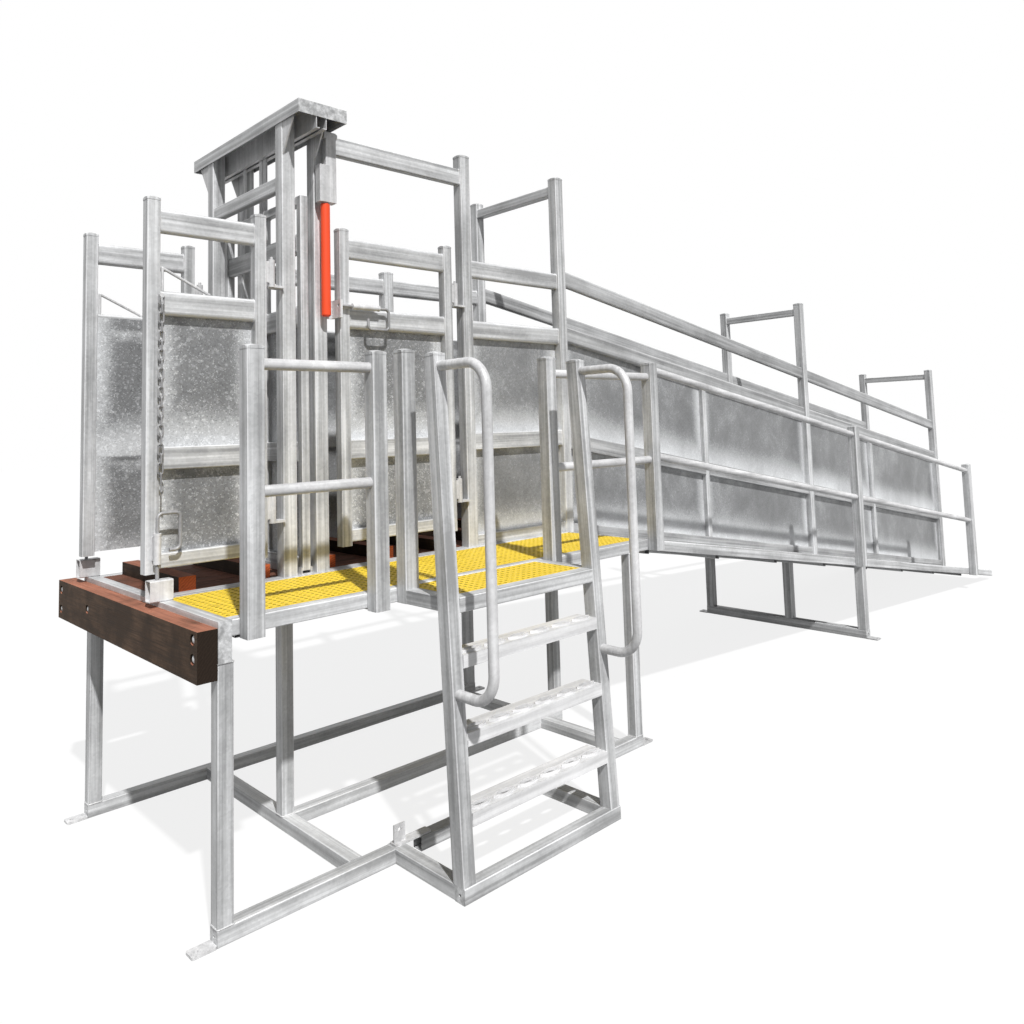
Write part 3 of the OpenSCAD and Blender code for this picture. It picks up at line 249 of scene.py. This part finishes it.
class Shader(Nodes):
    """A material with one Principled shader and patterns on Object coordinates"""

    def __init__(self, name, metallic, roughness, coat=0.0):
        self.material = bpy.data.materials.new(name)
        self.material.use_nodes = True
        super().__init__(self.material.node_tree)
        self.surface = next(n for n in self.tree.nodes if n.type == "BSDF_PRINCIPLED")
        self.set("Metallic", metallic)
        self.set("Roughness", roughness)
        self.set("Coat Weight", coat)
        self.place = self.add("ShaderNodeTexCoord", {}, {}, "Object")

    def set(self, name, value):
        self.join(value, self.surface.inputs[name])

    def stretched(self, scale, turn=(0, 0, 0)):
        """The place on the piece, turned and then multiplied along each axis"""
        turned = self.add("ShaderNodeMapping", {}, {"Vector": self.place, "Rotation": turn})
        return self.add("ShaderNodeMapping", {}, {"Vector": turned, "Scale": scale})

    def noise(self, place, detail, roughness=0.55, distortion=0.0):
        return self.add("ShaderNodeTexNoise", {}, {
            "Vector": place, "Scale": 1, "Detail": detail,
            "Roughness": roughness, "Distortion": distortion}, "Fac")

    def cells(self, scale):
        """A random number for each cell of a crystal pattern"""
        colour = self.add("ShaderNodeTexVoronoi", {}, {
            "Vector": self.stretched((scale, scale, scale)), "Scale": 1}, "Color")
        return self.add("ShaderNodeSeparateColor", {}, {"Color": colour}, "Red")

    def axes(self, vector):
        """A vector's three numbers, each by the name of its axis"""
        return {axis: self.add("ShaderNodeSeparateXYZ", {}, {"Vector": vector}, axis) for axis in "XYZ"}

    def facing(self):
        """How far the surface faces along each axis"""
        return self.axes(self.add("ShaderNodeTexCoord", {}, {}, "Normal"))

    def rounding(self):
        """1 where the surface turns away from every axis, as on a tube's rounded corners"""
        squareness = Value.highest([f.math("ABSOLUTE") for f in self.facing().values()])
        return (1 - squareness).between(0.03, 0.16)

    def mix(self, factor, a, b):
        """From one colour to another"""
        return self.add("ShaderNodeMix", {"data_type": "RGBA"}, {0: factor, 6: a, 7: b}, 2)

    def shades(self, colour, factor, stops):
        """Shades of a colour as factor rises; stops are places with the strength of their shade"""
        coloured = [(position, shade(colour, strength)) for position, strength in stops]
        return self.add("ShaderNodeValToRGB", {"stops": coloured}, {"Fac": factor})

    def bump(self, height, distance, strength):
        self.set("Normal", self.add("ShaderNodeBump", {}, {
            "Height": height, "Distance": distance, "Strength": strength}, "Normal"))


def galvanised(name, colour, along, turn=(0, 0, 0), streak=1.0, mottle=1.0, corner=0.0):
    """Hot-dipped tube with drawn lines along an axis, as strong as streak, faint crystals and cloudy
    patches, as strong as mottle, and a painted highlight on its rounded corners, as strong as corner"""
    s = Shader(name, metallic=0.15, roughness=0.4)
    lines = s.noise(s.stretched(stretch(along, 70 * DRAWN_LINE, 70), turn), detail=2, roughness=0.6)
    bands = s.noise(s.stretched(stretch(along, 26 * DRAWN_LINE, 26), turn), detail=1)
    runs = s.noise(s.stretched(stretch(along, 3.04, 38), turn), detail=4)
    clouds = s.noise(s.stretched((3, 3, 3)), detail=4, roughness=0.6)
    crystals = s.cells(85)
    drawn = lines.swing(0.36, 0.66, 0.32) + bands.swing(0.34, 0.64, 0.42)
    cloudy = clouds.swing(0.3, 0.7, 0.36) + (crystals - 0.5) * 0.14
    tone = 0.59 + drawn * streak + cloudy * mottle + runs.swing(0.42, 0.66, 0.14)
    # Painted highlight: the tube's rounded corners are made paler, as strong as corner
    if corner:
        tone = tone + s.rounding() * corner
    s.set("Base Color", s.shades(colour, tone, ((0.15, 0.62), (0.50, 0.95), (0.85, 1.28), (1.0, 1.5))))
    s.set("Roughness", 0.34 + crystals * 0.12 + clouds * 0.14)
    s.bump(bands * 0.7 + lines * 0.2 + runs * 0.15, 0.0009, 0.4)
    return s.material


def spangled_sheet(name, colour, flecks, rows, columns, axis="X", slope=0.0):
    """Galvanised sheet with fine zinc crystals, bright flecks, and a frosty margin along the rails and
    posts that hold it. rows are the lowest and highest heights of its panels above the floor, columns
    the places of their upright edges along an axis, and slope is how far the floor falls for each metre
    behind the knee"""
    s = Shader(name, metallic=0.15, roughness=0.35)
    fine = s.cells(190)
    broad = s.cells(75)
    clouds = s.noise(s.stretched((4.2, 4.2, 3.4)), detail=5, roughness=0.62, distortion=0.5)
    drift = s.noise(s.stretched((1.3, 1.3, 1.1)), detail=2)
    scuffs = s.noise(s.stretched((26, 26, 7), (0.3, 0.4, 0)), detail=3)
    place = s.axes(s.place)
    height = place["Z"] - KNEE.z + (place["X"] - KNEE.x) * slope
    ragged = (clouds - 0.5) * 0.12
    ragged_height = height + ragged
    margins = []
    for low, high in rows:
        above_low = height.between(low - 0.06, low - 0.04)
        below_high = 1 - height.between(high + 0.02, high + 0.04)
        margins.append((1 - ragged_height.between(low, low + 0.26)) * above_low)
        margins.append(ragged_height.between(high - 0.05, high + 0.02) * 0.5 * below_high)
    for column in columns:
        distance = (place[axis] - column).math("ABSOLUTE") + ragged * 0.5
        margins.append((1 - distance.between(0, 0.13)) * 0.85)
    frost = Value.highest(margins)
    specks = (fine.between(0.86, 0.99) * 0.65 + broad.between(0.84, 0.99) * 0.4
              - (1 - fine).between(0.86, 0.99) * 0.35)
    tone = (0.30 + drift.swing(0.3, 0.7, 0.16) + clouds.swing(0.3, 0.7, 0.18)
            + (fine - 0.5) * 0.10 + (broad - 0.5) * 0.08 + specks * flecks
            + scuffs.between(0.62, 0.72) * 0.06 + frost * 0.55)
    s.set("Base Color", s.shades(colour, tone, ((0.0, 0.45), (0.35, 1.0), (1.0, 3.2))))
    s.set("Roughness", 0.28 + broad * 0.16 + frost * 0.2)
    s.bump(broad * 0.3 + fine * 0.3 + clouds, 0.0006, 0.5)
    return s.material


def safety_tread(name, colour):
    """Gritty painted plank with walked-on dirt"""
    s = Shader(name, metallic=0.0, roughness=0.5)
    dirt = s.noise(s.stretched((7, 7, 7)), detail=5, roughness=0.65)
    grit = s.noise(s.stretched((900, 900, 900)), detail=2)
    ribs = s.noise(s.stretched(stretch("y", 1.2, 34)), detail=2)
    grimy = s.mix(dirt.between(0.54, 0.74) * 0.45, colour, shade(colour, 0.52))
    s.set("Base Color", s.mix(ribs.between(0.42, 0.72) * 0.4, grimy, shade(colour, 1.16)))
    s.set("Roughness", 0.42 + dirt * 0.2)
    s.bump(grit, 0.0006, 0.5)
    return s.material


def painted_shade_hollow(name, colour):
    """The dimples' inside, darkened as painted shade and mottled with dirt"""
    s = Shader(name, metallic=0.0, roughness=0.8)
    dirt = s.noise(s.stretched((160, 160, 160)), detail=3)
    # Painted shade: the inside is a darker copy of the plank's colour
    s.set("Base Color", s.mix(dirt.between(0.35, 0.65), shade(colour, 0.26), shade(colour, 0.50)))
    s.bump(dirt, 0.0005, 0.5)
    return s.material


def hardwood(name, weathered, cut_and_sunlit, end, along):
    """Weathered timber with its grain along an axis. The second colour is that of its top, fresher wood
    that is also lighter as painted sunlight, and end that of its sawn near end"""
    s = Shader(name, metallic=0.0, roughness=0.72)
    s.set("Specular IOR Level", 0.15)
    grain = s.noise(s.stretched(stretch(along, 4, 150)), detail=4, roughness=0.65, distortion=0.6)
    plank = s.noise(s.stretched(stretch(along, 1.6, 30)), detail=3, distortion=1.0)
    stain = s.noise(s.stretched((5, 5, 5)), detail=4, roughness=0.6)
    cracking = s.noise(s.stretched(stretch(along, 2, 60)), detail=2, distortion=0.3)
    cracks = cracking.between(0.70, 0.74) * 0.8
    figure = grain.between(0.3, 0.7) * 0.6 + plank.between(0.3, 0.7) * 0.4
    worn = s.mix(stain.between(0.40, 0.66), shade(weathered, 0.9), shade(weathered, 2.3))
    old = s.mix(figure, shade(weathered, 0.4), worn)
    fresh_and_sunlit = s.mix(figure, shade(cut_and_sunlit, 0.55), shade(cut_and_sunlit, 1.25))
    facing = s.facing()
    # Painted sunlight: the top takes the lighter colour, partly as fresher wood
    on_top = facing["Z"].between(0.35, 0.8) * (0.35 + stain.between(0.25, 0.55) * 0.65)
    at_near_end = (facing["Y"] * -1).between(0.6, 0.9)
    rings = s.add("ShaderNodeTexWave", {"wave_type": "RINGS", "rings_direction": "Y"}, {
        "Vector": s.place, "Scale": 28, "Distortion": 5, "Detail": 3, "Detail Scale": 2}, "Fac")
    sawn = s.mix(rings * 0.7, shade(end, 0.75), shade(end, 1.25))
    cracked = s.mix(cracks, s.mix(on_top, old, fresh_and_sunlit), shade(weathered, 0.15))
    s.set("Base Color", s.mix(at_near_end, cracked, sawn))
    s.set("Roughness", 0.62 + grain * 0.25)
    s.bump(grain * 0.7 + plank * 0.3 - cracks, 0.0022, 0.7)
    return s.material


def moulded_grip(name, colour):
    """Moulded sleeve, slightly scuffed by hands"""
    s = Shader(name, metallic=0.0, roughness=0.38, coat=0.1)
    scuffs = s.noise(s.stretched(stretch("z", 9, 60)), detail=4)
    pores = s.noise(s.stretched((700, 700, 700)), detail=2)
    s.set("Base Color", s.mix(scuffs.between(0.55, 0.75) * 0.5, colour, shade(colour, 0.72)))
    s.set("Roughness", 0.32 + scuffs * 0.25)
    s.bump(pores * 0.4 + scuffs, 0.0004, 0.5)
    return s.material


def start():
    """Deselects everything, so that the next operator acts on one new piece"""
    bpy.ops.object.select_all(action="DESELECT")


def edit(mode, action):
    """Enters edit mode, and selects or deselects all of the piece"""
    bpy.ops.object.mode_set(mode="EDIT")
    bpy.ops.mesh.select_mode(type=mode)
    bpy.ops.mesh.select_all(action=action)


def leave_edit():
    bpy.ops.object.mode_set(mode="OBJECT")


def apply_modifiers(piece):
    bpy.context.view_layer.objects.active = piece
    for modifier in list(piece.modifiers):
        bpy.ops.object.modifier_apply(modifier=modifier.name)


def at_origin(piece):
    """Puts the piece's place, turn and scale into its mesh"""
    start()
    piece.select_set(True)
    bpy.context.view_layer.objects.active = piece
    bpy.ops.object.transform_apply(location=True, rotation=True, scale=True)


def join(pieces, name):
    """Makes one piece of several"""
    start()
    for piece in pieces:
        piece.select_set(True)
    bpy.context.view_layer.objects.active = pieces[0]
    bpy.ops.object.join()
    joined = bpy.context.object
    joined.name = joined.data.name = name
    return joined


def cover(names, material):
    """Gives nodes of the frame a finish"""
    for name in names:
        slots = NODES[name].data.materials
        slots.clear()
        slots.append(material)


def dress(piece, node, materials):
    """Gives a new piece its finishes, and has it move with the body of a node"""
    for material in materials:
        piece.data.materials.append(material)
    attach(piece, BODY_OF[node])


def islands(node, unturn=Matrix.Identity(3)):
    """Lowest and highest corners of each separate solid in a node, after a turn"""
    mesh = bmesh.new()
    mesh.from_mesh(NODES[node].data)
    bmesh.ops.remove_doubles(mesh, verts=mesh.verts, dist=EPS)
    boxes = []
    seen = set()
    for first in mesh.verts:
        if first in seen:
            continue
        seen.add(first)
        group = []
        stack = [first]
        while stack:
            vert = stack.pop()
            group.append(unturn @ vert.co)
            for link in vert.link_edges:
                other = link.other_vert(vert)
                if other not in seen:
                    seen.add(other)
                    stack.append(other)
        boxes.append((Vector([min(v[i] for v in group) for i in range(3)]),
                      Vector([max(v[i] for v in group) for i in range(3)])))
    mesh.free()
    return boxes


def tread_plank(low, high, turn):
    """One plank: a dimpled cell is modelled once, repeated over the top, closed below and turned"""
    own = sizes()
    span = high - low
    count = [max(1, round(span[i] / own.tread_pitch)) for i in (0, 1)]
    pitch = [span[i] / count[i] for i in (0, 1)]
    reach = min(pitch) / 2
    top = high.z - own.lip_height
    start()
    bpy.ops.mesh.primitive_plane_add(size=1, location=(low.x + pitch[0] / 2, low.y + pitch[1] / 2, top))
    plank = bpy.context.object
    edit("FACE", "SELECT")
    bpy.ops.transform.resize(value=(pitch[0], pitch[1], 1))
    bpy.ops.mesh.subdivide(number_cuts=1)
    bpy.ops.mesh.inset(thickness=reach - own.dimple_radius - LIP_WIDTH, use_boundary=True)
    bpy.ops.mesh.dissolve_faces()
    bpy.ops.transform.tosphere(value=1)
    bpy.ops.mesh.inset(thickness=LIP_WIDTH, use_boundary=True)
    bpy.ops.transform.translate(value=(0, 0, own.lip_height))
    bpy.ops.mesh.extrude_region_move(
        TRANSFORM_OT_translate={"value": (0, 0, -own.dimple_depth - own.lip_height)})
    leave_edit()
    # Painted shade: the dimples' sides and bottoms take the second finish, a darker copy of the first
    for face in plank.data.polygons:
        heights = [plank.data.vertices[v].co.z for v in face.vertices]
        bottom = max(heights) < -EPS
        side = min(heights) < -EPS and abs(face.normal.z) < 0.5 and face.center.length < reach
        face.material_index = 1 if bottom or side else 0
    for axis in (0, 1):
        array = plank.modifiers.new("repeat", "ARRAY")
        array.count = count[axis]
        array.use_relative_offset = False
        array.use_constant_offset = True
        array.constant_offset_displace = [pitch[axis] if i == axis else 0 for i in range(3)]
        array.use_merge_vertices = True
        array.merge_threshold = EPS
    apply_modifiers(plank)
    edit("EDGE", "DESELECT")
    bpy.ops.mesh.select_non_manifold(extend=False, use_wire=False, use_boundary=True,
                                     use_multi_face=False, use_non_contiguous=False, use_verts=False)
    bpy.ops.mesh.extrude_region_move(TRANSFORM_OT_translate={"value": (0, 0, low.z - top)})
    bpy.ops.mesh.edge_face_add()
    bpy.ops.mesh.select_all(action="SELECT")
    bpy.ops.mesh.normals_make_consistent(inside=False)
    leave_edit()
    at_origin(plank)
    plank.matrix_world = Matrix.Rotation(turn, 4, "Y")
    at_origin(plank)
    return plank


def weld_ring(centre, span, axis):
    """A bead round the end of a tube that runs along an axis; span is the tube's size along each axis"""
    width, height = {"x": (span.z, span.y), "y": (span.x, span.z), "z": (span.x, span.y)}[axis]
    corner = min(width, height) / 2 if max(width, height) > OVAL_HEIGHT else TUBE_CORNER
    start()
    bpy.ops.mesh.primitive_plane_add(size=1, location=(0, 0, 0))
    ring = bpy.context.object
    edit("VERT", "SELECT")
    bpy.ops.transform.resize(value=(width, height, 1))
    bpy.ops.mesh.bevel(offset=min(corner, min(width, height) / 2 - EPS), segments=4, affect="VERTICES")
    bpy.ops.mesh.select_all(action="SELECT")
    bpy.ops.mesh.delete(type="ONLY_FACE")
    leave_edit()
    bpy.ops.object.convert(target="CURVE")
    ring.data.bevel_depth = sizes().weld_size
    ring.data.bevel_resolution = 1
    bpy.ops.object.convert(target="MESH")
    ring = bpy.context.object
    turn = {"x": Matrix.Rotation(math.pi / 2, 4, "Y"), "y": Matrix.Rotation(math.pi / 2, 4, "X"),
            "z": Matrix.Identity(4)}[axis]
    ring.matrix_world = Matrix.Translation(centre) @ turn
    at_origin(ring)
    return ring


class RampOperator:
    bl_options = {"REGISTER", "UNDO"}


class RAMP_OT_stage(RampOperator, bpy.types.Operator):
    """Adds the camera, the lights, the white surroundings and the floor"""
    bl_idname = "ramp.stage"
    bl_label = "Stage"

    def execute(self, context):
        self.add_camera(context)
        self.add_sun(context)
        self.add_surroundings(context)
        self.add_floor()
        return {"FINISHED"}

    def add_camera(self, context):
        """Stands the camera where the picture was taken. Its focal length and centre are in pixels of
        a square picture"""
        image = 1024
        focal = 816.252
        centre_x = 530.225
        centre_y = 359.325
        pitch = -0.0830
        yaw = 0.77768
        roll = -0.03127
        place = (-2.6762, -3.9735, 1.9138)
        right = Vector((math.cos(yaw), -math.sin(yaw), 0))
        level = Vector((math.sin(yaw), math.cos(yaw), 0))
        forward = math.cos(pitch) * level - math.sin(pitch) * Vector((0, 0, 1))
        up = math.sin(pitch) * level + math.cos(pitch) * Vector((0, 0, 1))
        rolled_right = math.cos(roll) * right + math.sin(roll) * up
        rolled_up = math.cos(roll) * up - math.sin(roll) * right
        turn = Matrix((rolled_right, rolled_up, -forward)).transposed().to_4x4()
        data = bpy.data.cameras.new("camera")
        data.sensor_width = 36
        data.lens = focal / image * data.sensor_width
        data.shift_x = (image / 2 - centre_x) / image
        data.shift_y = (centre_y - image / 2) / image
        data.clip_end = 200
        camera = bpy.data.objects.new("camera", data)
        camera.matrix_world = Matrix.Translation(place) @ turn
        context.scene.collection.objects.link(camera)
        context.scene.camera = camera
        context.scene.view_settings.view_transform = "Standard"

    def add_sun(self, context):
        towards = Vector((0.34, 0.94, -1.16)).normalized()
        sun = bpy.data.lights.new("key_light", "SUN")
        sun.energy = 4.6
        sun.angle = math.radians(1.5)
        sun.color = (1.0, 0.995, 0.99)
        lamp = bpy.data.objects.new("key_light", sun)
        lamp.rotation_euler = towards.to_track_quat("-Z", "Y").to_euler()
        lamp.location = (0, -5, 8)
        context.scene.collection.objects.link(lamp)

    def add_surroundings(self, context):
        """White where they are seen, and a dim sky where they light the ramp"""
        world = bpy.data.worlds.new("surroundings")
        context.scene.world = world
        world.use_nodes = True
        world.node_tree.nodes.clear()
        s = Nodes(world.node_tree)
        sky = s.add("ShaderNodeBackground", {}, {"Color": (0.97, 0.985, 1.0), "Strength": 0.25})
        white = s.add("ShaderNodeBackground", {}, {"Color": WHITE, "Strength": 1.0})
        s.add("ShaderNodeOutputWorld", {}, {"Surface": s.blend(s.seen(), sky, white)})

    def add_floor(self):
        """Nearly white where it is seen, so that only the ramp's shadow shows, and darker where it
        lights the ramp"""
        start()
        bpy.ops.mesh.primitive_plane_add(size=120, location=(0, 0, 0))
        floor = bpy.context.object
        floor.name = floor.data.name = "floor"
        s = Shader("pale_floor", metallic=0.0, roughness=1.0)
        s.set("Specular IOR Level", 0.0)
        seen = s.seen()
        s.set("Base Color", s.mix(seen, shade(WHITE, 0.20), shade(WHITE, 0.82)))
        glow = s.add("ShaderNodeEmission", {}, {"Color": WHITE, "Strength": 1.0})
        output = next(n for n in s.tree.nodes if n.type == "OUTPUT_MATERIAL")
        s.join(s.blend(seen * 0.84, Value(s, s.surface.outputs[0]), glow), output.inputs["Surface"])
        floor.data.materials.append(s.material)


class RAMP_OT_tubes(RampOperator, bpy.types.Operator):
    """Finishes the galvanised tubes and stair treads, each with its drawn lines along its own length"""
    bl_idname = "ramp.tubes"
    bl_label = "Tubes"

    runs = {
        "x": ("ground_sills", "deck_beams", "near_gate_rails", "far_gate_rails", "man_gate_rails",
              "wall_rails", "stair_bars"),
        "y": ("cross_members", "front_channel", "floor_joists", "header_cap", "frame_crossbar",
              "near_leaf_rails", "far_leaf_rails", "stair_side_bars"),
        "z": ("dock_legs", "guard_posts", "slide_posts", "near_leaf_stiles", "far_leaf_stiles",
              "near_gate_stiles", "far_gate_stiles", "man_gate_stiles", "wall_posts", "support_legs"),
    }

    def execute(self, context):
        zinc = finishes().zinc
        dull = shade(zinc, 0.72)
        # Painted light: the treads take bright zinc made paler still, standing in for the strong light
        # on them
        lit_tread_zinc = shade(finishes().bright_zinc, 1.18)
        slope = (0, -RAMP_ANGLE, 0)
        lean = (STILE_LEAN, 0, 0)
        # The corner argument paints a highlight along the tubes' rounded corners
        for axis, names in self.runs.items():
            cover(names, galvanised(f"galvanised_{axis}", zinc, axis, corner=0.36))
        cover(("ramp_channels",), galvanised("galvanised_slope", zinc, "x", slope, corner=0.3))
        cover(("ramp_rails",), galvanised("galvanised_ramp_rail", dull, "x", slope, corner=0.3))
        cover(("stair_stiles",), galvanised("galvanised_lean", zinc, "z", lean, corner=0.36))
        cover(("stair_treads",), galvanised("galvanised_tread", lit_tread_zinc, "x", streak=0.4, mottle=0.5))
        return {"FINISHED"}


class RAMP_OT_sheets(RampOperator, bpy.types.Operator):
    """Finishes the sheets of the gates, the walls and the ramp"""
    bl_idname = "ramp.sheets"
    bl_label = "Sheets"

    # Each sheet of the dock, the axis along which it runs, and how strongly it is flecked
    dock_sheets = (("near_leaf_sheet", "Y", 0.34), ("far_leaf_sheet", "Y", 0.34),
                   ("near_gate_sheet", "X", 0.34), ("far_gate_sheet", "X", 0.34),
                   ("man_gate_sheet", "X", 0.34), ("wall_sheets", "X", 0.10))

    def execute(self, context):
        colour = finishes().sheet
        for node, axis, flecks in self.dock_sheets:
            edges = self.edges(node, axis)
            cover((node,), spangled_sheet(node, colour, flecks, WALL_PANELS, edges, axis))
        posts = [x for x in self.edges("wall_posts", "X") if x > KNEE.x]
        cover(("ramp_sheets",), spangled_sheet("ramp_sheets", colour, 0.06, RAMP_PANELS, posts,
                                               slope=KNEE.z / RAMP_RUN))
        return {"FINISHED"}

    @staticmethod
    def edges(node, axis):
        """Where a node's solids begin and end along an axis, each place once"""
        i = "XYZ".index(axis)
        return sorted({round(corner[i], 3) for box in islands(node) for corner in box})


class RAMP_OT_fittings(RampOperator, bpy.types.Operator):
    """Finishes the hinges, bolts, chain, tracks, round rails and the lever"""
    bl_idname = "ramp.fittings"
    bl_label = "Fittings"

    bright = ("foot_plates", "bumper_bolts", "header_gussets", "leaf_tracks", "near_leaf_trolleys",
              "far_leaf_trolleys", "lever_bar", "hinge_pins", "bolt_catches", "near_gate_fittings",
              "far_gate_fittings", "man_gate_fittings", "stair_handrails")
    dull = ("near_drop_bolt", "far_drop_bolt", "gate_chain", "man_gate_latch")

    def execute(self, context):
        own = finishes()
        cover(self.bright, galvanised("bright_fittings", own.bright_zinc, "z", streak=0.35))
        cover(self.dull, galvanised("dull_rod", own.chain, "z", streak=0.3))
        cover(("guard_rails",), galvanised("bright_rail", own.bright_zinc, "x", streak=0.5))
        cover(("lever_grip",), moulded_grip("orange_sleeve", own.grip))
        return {"FINISHED"}


class RAMP_OT_treads(RampOperator, bpy.types.Operator):
    """Makes the dimpled planks: yellow on the dock and the landing, bare zinc beside the ramp"""
    bl_idname = "ramp.treads"
    bl_label = "Tread Planks"

    def execute(self, context):
        own = finishes()
        # The second finish of each pair paints shade inside the dimples
        yellow = (safety_tread("safety_yellow", own.tread), painted_shade_hollow("yellow_hollow", own.tread))
        zinc = (galvanised("plank_zinc", own.bright_zinc, "x", (0, -RAMP_ANGLE, 0), streak=0.4),
                painted_shade_hollow("zinc_hollow", own.bright_zinc))
        self.lay("deck_grating", 0.0, "yellow_tread", yellow)
        self.lay("ramp_grating", RAMP_ANGLE, "galvanised_sheet", zinc)
        return {"FINISHED"}

    @staticmethod
    def lay(node, turn, slot, materials):
        """Lays a plank over each solid of a node, whose planks are turned down from level"""
        unturn = Matrix.Rotation(-turn, 3, "Y")
        boxes = sorted(islands(node, unturn), key=lambda box: tuple(box[0]))
        for number, (low, high) in enumerate(boxes, start=1):
            plank = tread_plank(low, high, turn)
            plank.name = plank.data.name = f"{node}_plank_{number}"
            dress(plank, node, materials)
            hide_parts(node)


class RAMP_OT_timbers(RampOperator, bpy.types.Operator):
    """Finishes the bumper, the floor boards and the cleats"""
    bl_idname = "ramp.timbers"
    bl_label = "Timbers"

    def execute(self, context):
        old = finishes().timber
        # The tops' colour is partly fresher wood and partly painted sunlight
        cut_and_sunlit = finishes().sunlit_cut_timber
        sawn = finishes().sawn_timber
        cover(("bumper_timber",), hardwood("hardwood_bumper", old, cut_and_sunlit, shade(old, 0.3), "y"))
        cover(("floor_boards",), hardwood("hardwood_boards", shade(old, 0.8), shade(cut_and_sunlit, 0.4), old, "x"))
        cover(("floor_cleats",),
              hardwood("hardwood_cleats", shade(old, 0.5), shade(cut_and_sunlit, 0.8), sawn, "y"))
        return {"FINISHED"}


class RAMP_OT_welds(RampOperator, bpy.types.Operator):
    """Lays weld beads round both ends of the rails, the crossbar's tubes and the legs"""
    bl_idname = "ramp.welds"
    bl_label = "Welds"

    # Each node and the axis along which all its tubes run
    welded = (("near_gate_rails", "x"), ("far_gate_rails", "x"), ("man_gate_rails", "x"),
              ("near_leaf_rails", "y"), ("far_leaf_rails", "y"), ("wall_rails", "x"),
              ("frame_crossbar", "y"), ("dock_legs", "z"))

    def execute(self, context):
        bright = galvanised("weld_zinc", finishes().bright_zinc, "z", streak=0.2)
        for node, axis in self.welded:
            rings = [ring for low, high in islands(node) for ring in self.ends(low, high, axis)]
            dress(join(rings, f"{node}_welds"), node, (bright,))
        return {"FINISHED"}

    @staticmethod
    def ends(low, high, axis):
        """A ring of weld at each end of a tube"""
        along = "xyz".index(axis)
        rings = []
        for end in (low[along] + BEAD_INSET, high[along] - BEAD_INSET):
            centre = (low + high) / 2
            centre[along] = end
            rings.append(weld_ring(centre, high - low, axis))
        return rings


class RAMP_PT_panel(bpy.types.Panel):
    """Lists the ramp's sizes, finishes and pieces"""
    bl_idname = "RAMP_PT_panel"
    bl_label = "Loading Ramp"
    bl_space_type = "VIEW_3D"
    bl_region_type = "UI"
    bl_category = "Loading Ramp"

    def draw(self, context):
        for group in (sizes(), finishes()):
            for name in group.__annotations__:
                self.layout.prop(group, name)
        for operator in OPERATORS:
            self.layout.operator(operator.bl_idname)


OPERATORS = (RAMP_OT_stage, RAMP_OT_tubes, RAMP_OT_sheets, RAMP_OT_fittings, RAMP_OT_treads,
             RAMP_OT_timbers, RAMP_OT_welds)
CLASSES = (RampSizes, RampFinishes, *OPERATORS, RAMP_PT_panel)


def register():
    for cls in CLASSES:
        bpy.utils.register_class(cls)
    bpy.types.Scene.ramp_sizes = bpy.props.PointerProperty(type=RampSizes)
    bpy.types.Scene.ramp_finishes = bpy.props.PointerProperty(type=RampFinishes)


def unregister():
    del bpy.types.Scene.ramp_finishes
    del bpy.types.Scene.ramp_sizes
    for cls in reversed(CLASSES):
        bpy.utils.unregister_class(cls)


def main():
    register()
    for operator in OPERATORS:
        group, name = operator.bl_idname.split(".")
        if getattr(getattr(bpy.ops, group), name)() != {"FINISHED"}:
            raise RuntimeError(f"{operator.bl_label} did not finish")


if __name__ == "__main__":
    main()
